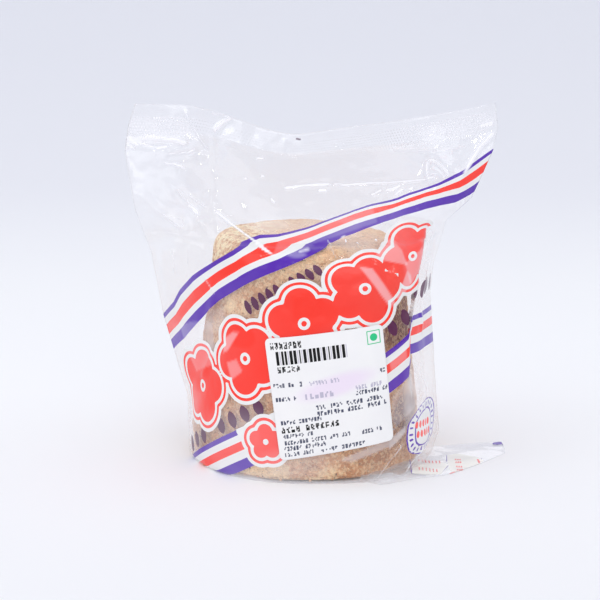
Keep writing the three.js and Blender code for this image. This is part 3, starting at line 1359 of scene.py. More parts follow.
@dataclass
class Bag:
    """The clear film round the lump, sealed across its top."""

    lump: Lump
    clearance: float = 0.8
    base_round: float = 3.5
    corner_height: float = 153.0
    seal_dip: float = 14.0
    seal_dip_x: float = -2.5
    seal_shoulder_x: float = -56.0
    seal_height: float = 12.0
    seal_half: float = 0.3
    lean_back: float = 8.0
    seal_wave: float = 4.0
    wave_pitch: float = 104.0
    softness: float = 0.12
    floor_gap: float = 0.12
    settle: float = 100.0
    flat_exponent: float = 3.0
    inside_fold: float = 2.5
    left_fin: tuple[Pair, ...] = (
        (0, 51), (26, 52), (62, 62.2), (88, 67), (108, 74), (132, 78.3), (144, 76.5), (153, 73.5),
    )
    right_fin: tuple[Pair, ...] = (
        (0, 54), (13, 58), (30, 56.5), (72, 54), (84, 55.5), (103, 61), (113, 71.5), (133, 81),
        (142, 83.2), (153, 82),
    )
    right_fold: tuple[Pair, ...] = ((0, 12), (34, 12), (66, 4), (84, 0))  # how far in front it is
    columns: int = 290
    back_columns: int = 138
    rows: int = 205
    turn_rows: int = 6
    roof_rows: int = 120
    roof_start: float = 80.0
    base_rows: int = 22
    # Crumpling: its height where the film clings to the lump, how much more it has where the film
    # is free, and the size of its facets or waves, and the waves' squeeze.
    crumpling: tuple[Triple, ...] = ((0.35, 0.75, 21.0), (0.16, 0.3, 9.0))
    waves: tuple[tuple[float, float, float, float], ...] = (
        (0.0, 0.3, 26.0, 0.6), (0.05, 0.06, 3.5, 1.0),
    )
    printed: Print = Print()
    finish: FilmFinish = FilmFinish()

    creases: tuple[Crease, ...] = tuple(
        Crease(*row)
        for row in (
            # at the seal
            (((-52.9, 166.8), (-48.4, 161), (-43.8, 154.2), (-40.1, 150.4)), 0.7, 1.4, 0.45, 0.6),
            (((-40.8, 166.2), (-39.4, 155.2), (-38.5, 140.9), (-40.3, 120.7)), 0.4, 1.8, 0.2, 0.6),
            (((-30.9, 167.4), (-35.1, 164.5), (-39.6, 159.8)), 0.6, 1.6, 0.9, 0.8, 1.5),
            (((-40.8, 166.4), (-35.8, 167.2), (-30.9, 167.2)), 0.3, 1.2, 0.5, 0.6, 1.5),
            (((-71, 153.2), (-68, 155.2), (-62, 155), (-55.8, 154.2), (-50, 152.2)), 1.2, 2.4, 1.2,
             1.6, 2),
            (((-71.4, 152.6), (-67.5, 150.6), (-63.3, 149.8), (-58, 151)), -0.8, 1.8, 0.9, 0.9, 2),
            (((-78.3, 156.1), (-77, 153.2), (-71.5, 150.6)), 0.7, 1.6, 0.8, 1.2, 1.5),
            (((-78, 150.6), (-73, 148.4)), 0.5, 1.4, 0.7, 0.8, 1.5),
            (((-61, 146.5), (-54.1, 147.5), (-49.4, 148.5), (-45.8, 151.3)), 0.7, 1.5, 0.55, 0.6),
            (((-61.3, 141.8), (-56.4, 141.8), (-51, 140)), 0.6, 1.4, 0.7, 0.8, 2),
            (((56.2, 153.2), (59.2, 156.1)), 0.7, 1.4, 1.0, 0.9, 1),
            (((34.8, 156), (57.3, 153.2), (74.2, 152.3)), 0.4, 1.6, 0, 0.7, 6, 0.22),
            (((76, 160.6), (84, 160.8)), 0.3, 1.4, 0.9, 1.1, 2),
            # over the roof
            (((-40.3, 120.7), (-31.3, 113.5), (-25.5, 108.8)), 0.8, 1.5, 1.2, 0.8, 3),
            (((-31, 113.2), (-22.2, 106.2), (-11.5, 99.8)), 0.6, 1.3, 1.0, 0.8, 8),
            (((-57.9, 129.8), (-50.9, 122.5), (-48.8, 117), (-45.5, 107.2)), 1.0, 2.2, 0.3, 0.9),
            (((-52.4, 121.6), (-49.4, 119.6), (-46.8, 117)), 0.6, 1.6, 1.2, 0.9, 2),
            (((-76.8, 127.1), (-68.9, 118), (-59.6, 111.7), (-54.1, 106.2)), 1.6, 5, 0, 0.7, 5,
             0.16),
            (((-51.6, 127.1), (-42.7, 120.7)), 0.6, 1.5, 0.4, 0.5, 2),
            (((-61, 136), (-55, 122), (-50, 110)), -0.8, 6, 0, 0.7, 6, 0.12),
            (((-76, 96), (-76, 84), (-74, 70)), 1.0, 2.6, 0.15),
            (((-67.3, 98), (-67.8, 82)), 0.9, 2.2, 0.3),
            (((-58, 101), (-60, 88)), 0.8, 2.2, 0.25),
            (((-21, 152.3), (-16.8, 153.2)), 0.5, 1.2, 0.9, 0.7, 1),
            (((-26, 138.6), (-25, 139.4)), 0.3, 1.0, 1.4, 0.8, 0.3),
            (((-18.8, 141.2), (-17.6, 142.4)), 0.3, 1.0, 1.2, 0.7, 0.3),
            (((-15, 129.4), (-13.2, 126.8)), 0.4, 1.0, 1.2, 0.7, 0.8),
            (((-8.3, 166), (-9.1, 154), (-9.3, 137)), 0.6, 1.8, 0.15, 0.6),
            (((-9.3, 136.2), (-2.1, 138), (3.8, 138.2), (11.1, 138.1)), 0.8, 1.5, 1.3, 0.8, 1),
            (((11.1, 138.1), (18.8, 137.2), (33.7, 137.2), (45.2, 137.2), (53.2, 137.2)), 0.7, 1.4,
             0.75, 0.7, 2),
            (((5.2, 135.3), (9.5, 135.3)), 0.4, 1.0, 1.1, 0.7, 0.8),
            (((27.3, 130.7), (29.5, 131.6), (32.9, 133.5)), 0.6, 1.2, 1.0, 0.8, 1),
            (((33.9, 133.5), (36.8, 133.5), (41, 135.3)), 0.6, 1.2, 1.1, 0.8, 1),
            (((38, 130.4), (39.2, 131.6), (42.2, 133.5)), 0.6, 1.2, 1.0, 0.7, 1),
            (((43.7, 132.6), (46.4, 133.5)), 0.6, 1.2, 1.1, 0.7, 0.8),
            (((53.4, 148.5), (57.3, 145.6), (60.9, 140.9), (62.3, 136.2)), 1.2, 2.2, 0.9, 1.0, 2),
            (((53.4, 148.5), (52.5, 142.8), (53, 138.1), (57, 138.4)), -0.8, 1.8, 0.6, 0.8, 1.5),
            (((84.3, 158.1), (77, 150.4), (74.5, 146.5), (68.9, 136.2)), 1.2, 2.2, 0.8, 1.5, 3),
            # on the wall
            (((8.4, 108.1), (10.4, 104), (12.9, 99)), 0.5, 1.1, 0.5, 0.5, 2),
            (((-4.4, 102.2), (2.4, 104.4)), 0.5, 1.6, 0.42, 1.4, 2),
            (((16.2, 107.6), (17, 105)), 0.4, 1.0, 0.7, 0.6, 0.8),
            (((20.9, 106.4), (21.8, 104)), 0.4, 1.0, 0.7, 0.6, 0.8),
            (((28.6, 107.4), (30.2, 106)), 0.4, 1.2, 0.9, 0.8, 0.6),
            (((13.6, 107.4), (17.4, 109.8)), 0.5, 1.6, 0.36, 1.3, 2),
            (((-51, 85), (-44, 77.5)), 0.6, 1.6, 0.35, 0.7, 2),
            (((-50, 75), (-42.5, 64), (-48, 52), (-58, 38)), 0.8, 4.5, 0, 0.7, 6),
            (((26, -1), (30.1, 3.3), (35.8, 10.9), (42.8, 18.5)), 0.8, 1.6, 0.36, 0.6, 3),
            (((30, 25), (38, 24), (46, 29)), -0.5, 1.8, 0.3, 0.6, 2),
            (((44, 3), (50, 9), (58, 13)), 0.8, 2.0, 0.5, 0.8, 2),
            (((60, 60), (60, 84), (62, 104)), 1.0, 3.0, 0.3, 0.8, 4),
            (((48, 34), (47, 56), (48.8, 73), (52.5, 83), (55, 98), (56, 110)), 1.9, 11, 0, 0.7,
             8, 0, Profile.STEP),
        )
    )
    patches: tuple[Patch, ...] = (
        Patch(50, 92, 20, 26, 1.1, 8.0, 31),
        Patch(14, 104, 18, 8, 0.45, 4.2, 32),
        Patch(-62, 152, 22, 5, 0.8, 3.2, 33),
        Patch(56, 14, 26, 22, 0.9, 8.0, 34),
        Patch(70, 138, 16, 14, 0.6, 8.0, 35),
        Patch(30, 130, 16, 7, 0.7, 5.0, 36),
        Patch(-40, 118, 30, 26, 0.5, 11.0, 37),
    )
    clinging: tuple[Spot | Facet, ...] = (
        Facet(((21.3, 6.5), (30.2, 4.8), (38.4, 15.2), (35.4, 17.5), (19.4, 11))),
        Facet(((35.4, 14.6), (38.4, 15.2), (44.8, 19.6), (44.6, 21.8))),
        Facet(((38.3, 24), (45, 25.5), (45, 29.5))),
        Spot(40, 64, 13, 15),
        Spot(12, 99, 12, 7),
        Spot(-36, 94, 14, 10),
        Spot(-24, 10, 14, 5),
    )
    # Painted reflections: facets and spots painted evenly white, over ink and bare film alike.
    painted_sheens: tuple[Spot | Facet, ...] = (
        Facet(((22.2, 95), (31.5, 81.2), (36.4, 75.1), (38.2, 77.4), (27.6, 94)), 0.34),
        Facet(((-69.3, 60.8), (-68.4, 50.2), (-61.4, 41.9), (-48, 47.2), (-45, 56.2), (-47.6, 65.3),
               (-60.7, 63.8)), 0.16),
        Facet(((-39.6, 54), (-36.7, 55.5), (-30.6, 63.8), (-33.8, 63.8), (-39.3, 60)), 0.3),
        Facet(((-37.1, 50.2), (-34.3, 43.4), (-28.3, 47.9), (-31.7, 52.5)), 0.22),
        Facet(((36.7, 29), (38.8, 24.5), (53.5, 34.3), (49.2, 47.9), (37.1, 37.4)), 0.15),
        Facet(((35.6, 15.8), (44.3, 21.9), (44.9, 24.5), (35.6, 20.2)), 0.35),
        Facet(((14, 12.5), (19, 11.2), (35.6, 17), (35.6, 21)), 0.26),
        Facet(((42.8, 95), (47.2, 83.5), (55.7, 93), (53.8, 102.1)), 0.22),
        Facet(((38.3, 78.9), (41.6, 78.9), (47.8, 85.2), (46.8, 88.5), (44.3, 91.2)), 0.3),
        Facet(((-10, 110), (-16, 98), (30, 116), (28, 124)), 0.1),
        Facet(((36.6, 48.7), (44.8, 53.2), (44.5, 58.5), (35.5, 54)), 0.16),
        Facet(((34, 57), (46, 62), (47, 72), (45, 80), (34, 76)), -0.14),
        Spot(-22, 16, 40, 20, 0.1),
        Spot(-2, 11, 24, 8, 0.07),
        Facet(((-78.9, 151.3), (-55.5, 152), (-49, 153.2), (-55, 156.1), (-78.4, 155.4)), 0.42),
        Facet(((-79.4, 147.5), (-72.1, 150.4), (-75.8, 156.1), (-78, 158.1)), 0.25),
        Spot(-4, 101.5, 5, 1.8, 0.2),
        Facet(((29.2, 101.1), (32.5, 98), (44.5, 94), (41, 102.1), (35.8, 107.2)), 0.26),
    )
    milky: tuple[Spot, ...] = (
        Spot(-63, 159.8, 18, 4.6, 0.32),
        Spot(70, 162, 20, 4.6, 0.2),
        Spot(58, 160, 5, 6, 0.35),
        Spot(-70, 140, 14, 16, 0.08),
        Spot(2, 114, 34, 8, 0.22),
        Spot(20, 106, 16, 6, 0.12),
        Spot(53, 36, 12, 24, 0.3),
        Spot(66, 20, 20, 26, 0.2),
        Spot(60, 92, 12, 24, 0.2),
        Spot(-66, 20, 16, 20, 0.25),
        Spot(-45, 62, 9, 22, 0.14),
        Spot(-30, 24, 16, 14, 0.1),
        Spot(-28, 1, 14, 4, 0.25),
        Spot(-24, 84, 20, 12, 0.04),
    )

    def __post_init__(self) -> None:
        """Works out the smooth film, before it is creased."""
        self.level = self.levels()
        up = self.distance_up()
        self.front, self.back = (self.panel(face, up) for face in (-1, 1))

    def seal_edge(self, x: Array) -> Array:
        """Height of the sealed top edge at x.

        Args:
            x: The places from left to right.

        Returns:
            The heights.
        """
        right = float(table(self.right_fin, self.corner_height))
        fall = np.where(
            x < self.seal_dip_x,
            smooth(x, self.seal_shoulder_x, self.seal_dip_x),
            1 - (x - self.seal_dip_x) / (right - self.seal_dip_x),
        )
        return self.corner_height - self.seal_dip * np.clip(fall, 0, 1)

    def section(self, level: float) -> Plan:
        """The bag's outline at one level, before the rings sag under the seal.

        Args:
            level: The level.

        Returns:
            The outline.
        """
        slope = self.corner_height - self.seal_height - self.lump.shoulder
        share = min(1.0, (level - self.lump.shoulder) / slope)
        if abs(share) < self.softness:
            rise = (share + self.softness) ** 2 / (4 * self.softness)
        else:
            rise = min(max(share, 0.0), 1.0)
        lift = max(0.0, self.base_round - level)
        rounding = self.base_round - math.sqrt(self.base_round**2 - lift**2)
        left = float(table(self.left_fin, level)) - rounding
        right = float(table(self.right_fin, level)) - rounding
        radius = float(self.lump.radius(min(level, self.lump.shoulder))) + self.clearance - rounding
        return Plan(
            left=left,
            right=right,
            middle=rise * (right - left) / 2,
            half_width=radius + ((left + right) / 2 - 1 - radius) * rise**1.3,
            half_depth=radius + (self.seal_half - radius) * rise,
            flatness=1 - rise,
            back=self.lean_back * rise,
            wave=self.seal_wave * rise**2,
            fold=float(table(self.right_fold, level)),
        )

    def quarter(self, plan: Plan, side: int, face: int, depth: float) -> Array:
        """The film in plan from one side fold to the crown of the front or back.

        Args:
            plan: The level's outline.
            side: -1 for the left and 1 for the right.
            face: -1 for the front and 1 for the back.
            depth: How far the crown stands from the middle.

        Returns:
            Points x, y from the fold to the crown.
        """
        reach = plan.left + plan.middle if side < 0 else plan.right - plan.middle
        flat = plan.flatness if side > 0 and face < 0 else 0.0
        power = 2 + (self.flat_exponent - 2) * flat
        half = plan.half_width + (reach - self.inside_fold - plan.half_width) * flat
        fold = -face * plan.fold if side > 0 else 0.0
        angle = np.linspace(0, math.pi / 2, 150)
        oval = np.stack(
            [
                half * np.clip(np.cos(angle), 0, 1) ** (2 / power),
                depth * np.sin(angle) ** (2 / power),
            ],
            axis=-1,
        )
        # The film runs straight from the fold to where it touches the oval.
        touch = int(np.argmax(np.arctan2(oval[:, 1] - fold, reach - oval[:, 0])))
        oval = oval[touch:]
        line = np.linspace([reach, fold], oval[0], 40, endpoint=False)
        points = np.vstack([line, oval])
        return np.stack([plan.middle + side * points[:, 0], face * points[:, 1]], axis=-1)

    def settled(self, level: float, plan: Plan, x: Array, y: Array) -> Array:
        """Points of one level, leaned back and waved, and let down as the sealed edge dips.

        Args:
            level: The level.
            plan: Its outline.
            x: The points' places from left to right.
            y: Their places from front to back in the outline.

        Returns:
            The points.
        """
        above = max(0.0, level - self.settle) / (self.corner_height - self.settle)
        swing = plan.wave * np.cos(2 * math.pi * (x - self.seal_dip_x) / self.wave_pitch)
        z = level - above * (self.corner_height - self.seal_edge(x))
        return np.stack([x, y + plan.back + swing, z], axis=-1)

    def row(self, level: float, face: int) -> tuple[Array, float]:
        """One level of the front or back, evenly spaced from the left fold to the right.

        Args:
            level: The level, before the rings sag under the seal.
            face: -1 for the front and 1 for the back.

        Returns:
            The points, and the distance along the film from the left fold to the lump's axis.
        """
        plan = self.section(level)
        depth = plan.half_depth
        if level < self.lump.top:
            snug = float(self.lump.radius(level)) + self.clearance - face * plan.back
            soft = 2.5 * float(smooth(level, self.lump.shoulder - 16, self.lump.shoulder + 4))
            depth = (depth + snug + math.hypot(depth - snug, soft)) / 2
        left, right = (self.quarter(plan, side, face, depth) for side in (-1, 1))
        line = np.vstack([left, right[::-1][1:]])
        length = lengths(line)
        even = respaced(line, self.columns if face < 0 else self.back_columns, length)
        axis = float(np.interp(0, line[:, 0], length))
        return self.settled(level, plan, even[:, 0], even[:, 1]), axis

    def levels(self) -> Array:
        """The rings' levels: close together where the film turns under the lump and over it.

        Returns:
            The levels from the floor up.
        """
        low = self.base_round * (1 - np.cos(np.linspace(0, math.pi / 2, self.turn_rows)))
        wall_rows = self.rows - self.roof_rows - self.turn_rows
        wall = np.linspace(self.base_round, self.roof_start, wall_rows + 1)[1:]
        roof = np.linspace(self.roof_start, self.corner_height, self.roof_rows + 1)[1:]
        return np.r_[low, wall, roof]

    def distance_up(self) -> Array:
        """The distance along the film up its middle, for each level.

        Returns:
            The distances.
        """
        spots = []
        for level in self.level:
            plan = self.section(level)
            spots.append(self.settled(level, plan, np.array(plan.middle), -plan.half_depth))
        steps = np.linalg.norm(np.diff(np.array(spots), axis=0), axis=1)
        return np.r_[0, np.cumsum(steps)]

    def panel(self, face: int, up: Array) -> Panel:
        """One side of the smooth film.

        Args:
            face: -1 for the front and 1 for the back.
            up: The rows' distances up the film.

        Returns:
            The panel.
        """
        rows = [self.row(level, face) for level in self.level]
        grid = np.array([points for points, _ in rows])
        across = np.array([lengths(points) - axis for points, axis in rows])
        up = np.repeat(up[:, None], grid.shape[1], axis=1)
        return Panel(across, up, face, grid, self.room(grid))

    def room(self, grid: Array) -> Array:
        """The distance from each point of the smooth film in to the lump.

        Args:
            grid: The film's points.

        Returns:
            The distances.
        """
        height = grid[..., 2]
        radius = self.lump.radius(np.clip(height, 0, self.lump.top))
        side = np.maximum(np.hypot(grid[..., 0], grid[..., 1]) - radius, 0)
        over = height - self.lump.top
        return np.where(over > 0, np.hypot(over, side), side)

    def crumple(self, panel: Panel) -> Array:
        """How far the creases lift each point of one panel, in mm.

        Args:
            panel: The front or back.

        Returns:
            The lifts.
        """
        free = smooth(panel.room, 1.0, 16.0)
        seed = 40 if panel.face < 0 else 60
        lift = np.zeros_like(free)
        for low, more, size in self.crumpling:
            lift += (low + more * free) * facets(panel, size, seed)
            seed += 1
        for low, more, size, squeeze in self.waves:
            lift += (low + more * free) * panel.grain(size, seed, squeeze)
            seed += 1
        if panel.face < 0:
            for crease in self.creases:
                lift += crease.lift(panel)
            for patch in self.patches:
                lift += patch.weight(panel) * facets(panel, patch.spacing, patch.seed)
        return lift

    def haze(self, panel: Panel) -> Array:
        """How milky one panel is at each point.

        Args:
            panel: The front or back.

        Returns:
            The haze, where 1 would be white.
        """
        milky = 0.08 + 0.05 * panel.grain(17.0, 51)
        milky = milky + (0.1 - milky) * smooth(panel.room, 4.0, 22.0)
        cling = 0.75 * smooth(panel.grain(15.0, 52, 1.2), 0.25, 0.5)
        if panel.face < 0:
            uneven = 0.8 + 0.4 * panel.grain(5.0, 55)
            for spot in self.milky:
                milky += spot.weight(panel) * uneven
            for patch in self.clinging:
                cling = np.maximum(cling, patch.weight(panel))
        cling *= smooth(panel.room, 6.0, 2.0)
        milky *= 1 - 0.85 * cling
        # Some creases add a painted sheen, milky over their width.
        for crease in self.creases:
            if crease.veil > 0 and panel.face < 0:
                milky += crease.haze(panel)
        return milky + 0.42 * smooth(panel.y, 4.0, 1.0)

    def ink(self, panel: Panel) -> Array:
        """How much of what is behind it the ink hides: the light comes through it off the lump."""
        thin = 0.015 + 0.17 * smooth(panel.room, 3.0, 14.0) * smooth(panel.x, 70, 0)
        return 1 - thin * (1 + 0.5 * panel.grain(14.0, 53))

    def fields(self, panel: Panel) -> dict[str, Array]:
        """The print and the look of the film at each point of one panel.

        Args:
            panel: The front or back.

        Returns:
            The fields.
        """
        own = {"haze": self.haze(panel), "ink": self.ink(panel)}
        if panel.face > 0:
            return {**self.printed.back(panel), **own}
        own["sheen"] = sum(facet.weight(panel) for facet in self.painted_sheens)
        worn = [crease.worn(panel) for crease in self.creases if crease.white > 0]
        own["worn"] = np.max(worn, axis=0)
        return {**self.printed.front(panel), **own}

    def labelled(self, label: Label) -> Array:
        """1 where the label holds the film flat, and 0 outside it.

        Args:
            label: The label.

        Returns:
            The number for each point of the front.
        """
        heights = Sheet(self.front.x, self.front.grid[..., 2])
        own = heights.seen_from(label.across, label.height, label.turn)
        outside = np.maximum(np.abs(own.x), np.abs(own.y)) - label.side / 2
        return smooth(outside, 3.0, 0.0)

    def build(self, label: Label) -> Object:
        """Makes the film as one closed surface, with the print's fields on its vertices.

        Args:
            label: The label, under which the film is flat.

        Returns:
            The film.
        """
        front_lift = self.crumple(self.front) * (1 - 0.9 * self.labelled(label))
        made = []
        for panel, other, lift in (
            (self.front, self.back, front_lift),
            (self.back, self.front, self.crumple(self.back)),
        ):
            x, y, z = np.moveaxis(panel.grid, -1, 0)
            apart = np.abs(y - by_row(x, other.grid[..., 0], other.grid[..., 1]))
            own, fins = smooth(apart, 1.0, 18.0), smooth(apart, 26.0, 2.0)
            column = np.arange(x.shape[1])
            tip = smooth(np.minimum(column, column[::-1]) * self.back_columns, 0, 4 * len(column))
            base = smooth(panel.y, 0.0, 5.0)
            wave = 1.6 * Sheet(x, z).grain(30.0, 71) + 0.5 * Sheet(x, z).grain(9.0, 72)
            pressed = by_row(x, self.front.grid[..., 0], front_lift)
            lift = np.maximum(lift * own * tip * base, -np.maximum(panel.room - 0.25, 0))
            moved = panel.grid + outward(panel.grid, panel.face) * lift[..., None]
            moved[..., 1] += (fins * wave - (1 - own) * pressed) * base
            made.append(moved)
        front, back = made
        back[:, 0], back[:, -1] = front[:, 0], front[:, -1]
        # The last rings come together in one line, where the seal's two layers are one.
        for step, share in ((-1, 0.1), (-2, 0.6)):
            middle = (front[step] + respaced(back[step], self.columns)) / 2
            front[step] = middle + (front[step] - middle) * share
            middle = respaced(middle, self.back_columns)
            back[step] = middle + (back[step] - middle) * share
        self.creased = front
        points, faces, fields = self.close(front, back)
        points[:, 2] = np.maximum(points[:, 2], self.floor_gap)
        return make_object("bag_film", points, faces, self.finish.make(), fields)

    def close(self, front: Array, back: Array) -> tuple[Array, Faces, dict[str, Array]]:
        """Joins the two panels at the side folds, along the seal and under the lump.

        Args:
            front: The front panel's points.
            back: The back panel's points.

        Returns:
            The points, the faces and the film's fields.
        """
        ring = np.concatenate([front, back[:, -2:0:-1]], axis=1)
        size = ring.shape[1]
        faces = strip_faces(self.rows, size, True)
        near = list(range(self.columns))
        far = [(size - column) % size for column in range(self.back_columns - 1)] + near[-1:]
        top = (self.rows - 1) * size
        faces += zip_rows([top + i for i in near], [top + i for i in far])
        share = np.linspace(0, 1, self.base_rows + 1)[1:-1, None, None]
        behind = respaced(back[0], self.columns)
        under = (front[0] + (behind - front[0]) * share)[:, 1:-1]
        count = under.shape[0] * under.shape[1]
        inner = self.rows * size + np.arange(count).reshape(under.shape[:2])
        chains = [near, *([near[0], *row, near[-1]] for row in inner.tolist()), far]
        for nearer, farther in itertools.pairwise(chains):
            faces += zip_rows(farther, nearer)
        marks, behind = self.fields(self.front), self.fields(self.back)
        fields = {}
        for key, clear in BLANK.items():
            walls = np.concatenate([marks[key], behind[key][:, -2:0:-1]], axis=1).ravel()
            fields[key] = np.r_[walls, np.full(count, clear)]
        return np.vstack([ring.reshape(-1, 3), under.reshape(-1, 3)]), faces, fields

    def on_front(self, across: Array, level: Array) -> tuple[Array, Array]:
        """Points of the smooth front film.

        Args:
            across: Their distances along the film from the lump's axis.
            level: Their levels.

        Returns:
            The points, and the outward normals there.
        """
        values = np.concatenate([self.front.grid, outward(self.front.grid, -1)], axis=-1)
        row = np.interp(level, self.level, np.arange(self.rows))
        low = np.clip(np.floor(row).astype(int), 0, self.rows - 2)
        pair = []
        for index in (low, low + 1):
            start, after = self.front.x[index, 0], self.front.x[index, 1]
            spot = (across - start) / (after - start)
            column = np.clip(np.floor(spot).astype(int), 0, self.columns - 2)
            rest = (spot - column)[..., None]
            pair.append(values[index, column] * (1 - rest) + values[index, column + 1] * rest)
        part = (row - low)[..., None]
        point, normal = np.split(pair[0] * (1 - part) + pair[1] * part, 2, axis=-1)
        return point, normal / np.linalg.norm(normal, axis=-1, keepdims=True)


@dataclass
class FloorCorner:
    """The bag's bottom corner, which lies flat on the floor to the right of the lump."""

    thickness: float = 0.12
    front: tuple[Pair, ...] = (
        (22, -46), (30.8, -53), (35.2, -51), (40.8, -47.6), (45.2, -44.5), (51.2, -41.9),
        (57.6, -39.7), (62.7, -35.8), (65.8, -32.4), (75.2, -21.6), (79, -16.5), (87.5, -4.7),
        (88, 4), (87.7, 13.3),
    )
    back: tuple[Pair, ...] = ((30, -36), (41, -14), (52.6, 1), (68.6, 9.2), (87.7, 13.3))
    rows: int = 60
    columns: int = 130
    fields_of_cream: tuple[Area, ...] = (
        Area(((45, -39.7), (57.4, -37.4), (61.2, -25.1), (60.4, -22.9), (57.2, -19.3),
              (53.6, -21.3), (51.3, -24.4), (45.5, -33.6))),
        Area(((61.6, -10.8), (61.3, -30), (62.6, -35), (65.9, -31.5), (75.3, -20.5),
              (77.5, -16.6), (74.1, -11.9), (68.8, -8.4), (66.1, -7.4))),
    )
    lines: tuple[Bar, ...] = (
        Bar((44.8, -24.4), (44.8, -39.7), 0.8),
        Bar((44.8, -40), (51.2, -40.4), 0.4),
        Bar((51.2, -40.4), (57.6, -38.6), 0.3),
        Bar((61.5, -10.8), (60.9, -20.5), 0.6),
        Bar((61.3, -25.1), (57.4, -35.9), 0.8),
        Bar((84.8, 9.3), (86.2, 9.7), 3.6),
        Bar((76.2, -14.2), (77.5, -17), 0.6),
    )
    big_dashes: tuple[Bar, ...] = (
        Bar((74.7, -15.5), (75, -20), 1.0), Bar((61.3, -36.4), (63.6, -33.6), 0.7),
    )
    dash_width: float = 0.6
    # Rows of dashes: the first one's place, how far they lean and fall, their step and number.
    dashes: tuple[tuple[float, float, float, float, float, int], ...] = (
        (48.8, -18.6, 0.0, 4.4, 1.5, 7),
        (48.4, -31.0, 0.0, 4.4, 1.5, 6),
        (65.0, -16.0, 0.2, 2.2, 1.0, 3),
        (65.0, -20.0, 0.2, 2.2, 1.0, 3),
        (65.0, -25.4, 0.2, 2.2, 1.0, 3),
        (65.0, -29.6, 0.2, 2.2, 1.0, 3),
    )

    def build(self, material: Material) -> Object:
        """Makes the corner as a thin leaf with a gentle swell, and its bits of print.

        Args:
            material: The film's finish.

        Returns:
            The corner.
        """
        edges = [np.array(line, float) for line in (self.front, self.back)]
        near, far = (respaced(edge, self.columns, lengths(edge)) for edge in edges)
        share = np.linspace(0, 1, self.rows)[:, None, None]
        flat = near * (1 - share) + far * share
        at = Sheet(flat[..., 0], flat[..., 1])
        inside = smooth(share[..., 0], 0, 0.25)
        lift = 0.3 + 0.3 * (1 + at.grain(13.0, 81)) * inside
        lift += 0.3 * (1 + facets(at, 8.0, 82)) * inside
        lift += (1.6 + 0.9 * facets(at, 5.0, 83)) * smooth(at.x, 56, 42) * inside
        upper = np.concatenate([flat, lift[..., None]], axis=-1)
        points, faces = close_sheet(upper, upper - np.array([0, 0, self.thickness]))
        at = Sheet(points[:, 0], points[:, 1])
        dashes = list(self.big_dashes)
        for left, head, lean, fall, step, count in self.dashes:
            for spot in (left + step * n for n in range(count)):
                dashes.append(Bar((spot, head), (spot - lean, head - fall), self.dash_width))
        fields = blank(
            at.x,
            stripe=np.clip(-2 * nearest(self.lines, at), -1, 0.2),
            stripe_cut=np.full_like(at.x, -9.0),
            cream=nearest(self.fields_of_cream, at),
            red_mark=nearest(dashes, at),
            haze=0.1 + 0.12 * smooth(at.x, 60, 44),
            ink=np.where(at.x > 80, 0.9, 0.55 + 0.2 * smooth(at.x, 56, 44)),
        )
        return make_object("bag_floor_corner", points, faces, material, fields)


def close_sheet(upper: Array, lower: Array) -> tuple[Array, Faces]:
    """Joins two grids of points into a thin closed sheet.

    Args:
        upper: The grid that is seen, counter-clockwise by rows and columns.
        lower: The grid behind it.

    Returns:
        The points and faces.
    """
    rows, columns = upper.shape[:2]
    count = rows * columns
    faces = strip_faces(rows, columns, False)
    faces += [tuple(count + i for i in reversed(face)) for face in faces]
    index = np.arange(count).reshape(rows, columns)
    rim = [*index[0, :-1], *index[:-1, -1], *index[-1, :0:-1], *index[:0:-1, 0]]
    for here, after in zip(rim, rim[1:] + rim[:1]):
        faces.append((int(after), int(here), int(here) + count, int(after) + count))
    return np.vstack([upper.reshape(-1, 3), lower.reshape(-1, 3)]), faces


# ---- the label


Box = tuple[str, float, float, float, float]  # a block's ink, left, foot, width and height


@dataclass(frozen=True)
class Line:
    """A line of small print whose letters are small blocks set by chance in columns and rows.

    The places are in mm from the label's middle, rightwards and up."""

    left: float
    right: float
    foot: float
    height: float
    ink: str
    letter: float = 1.3
    columns: int = 2
    rows: int = 3


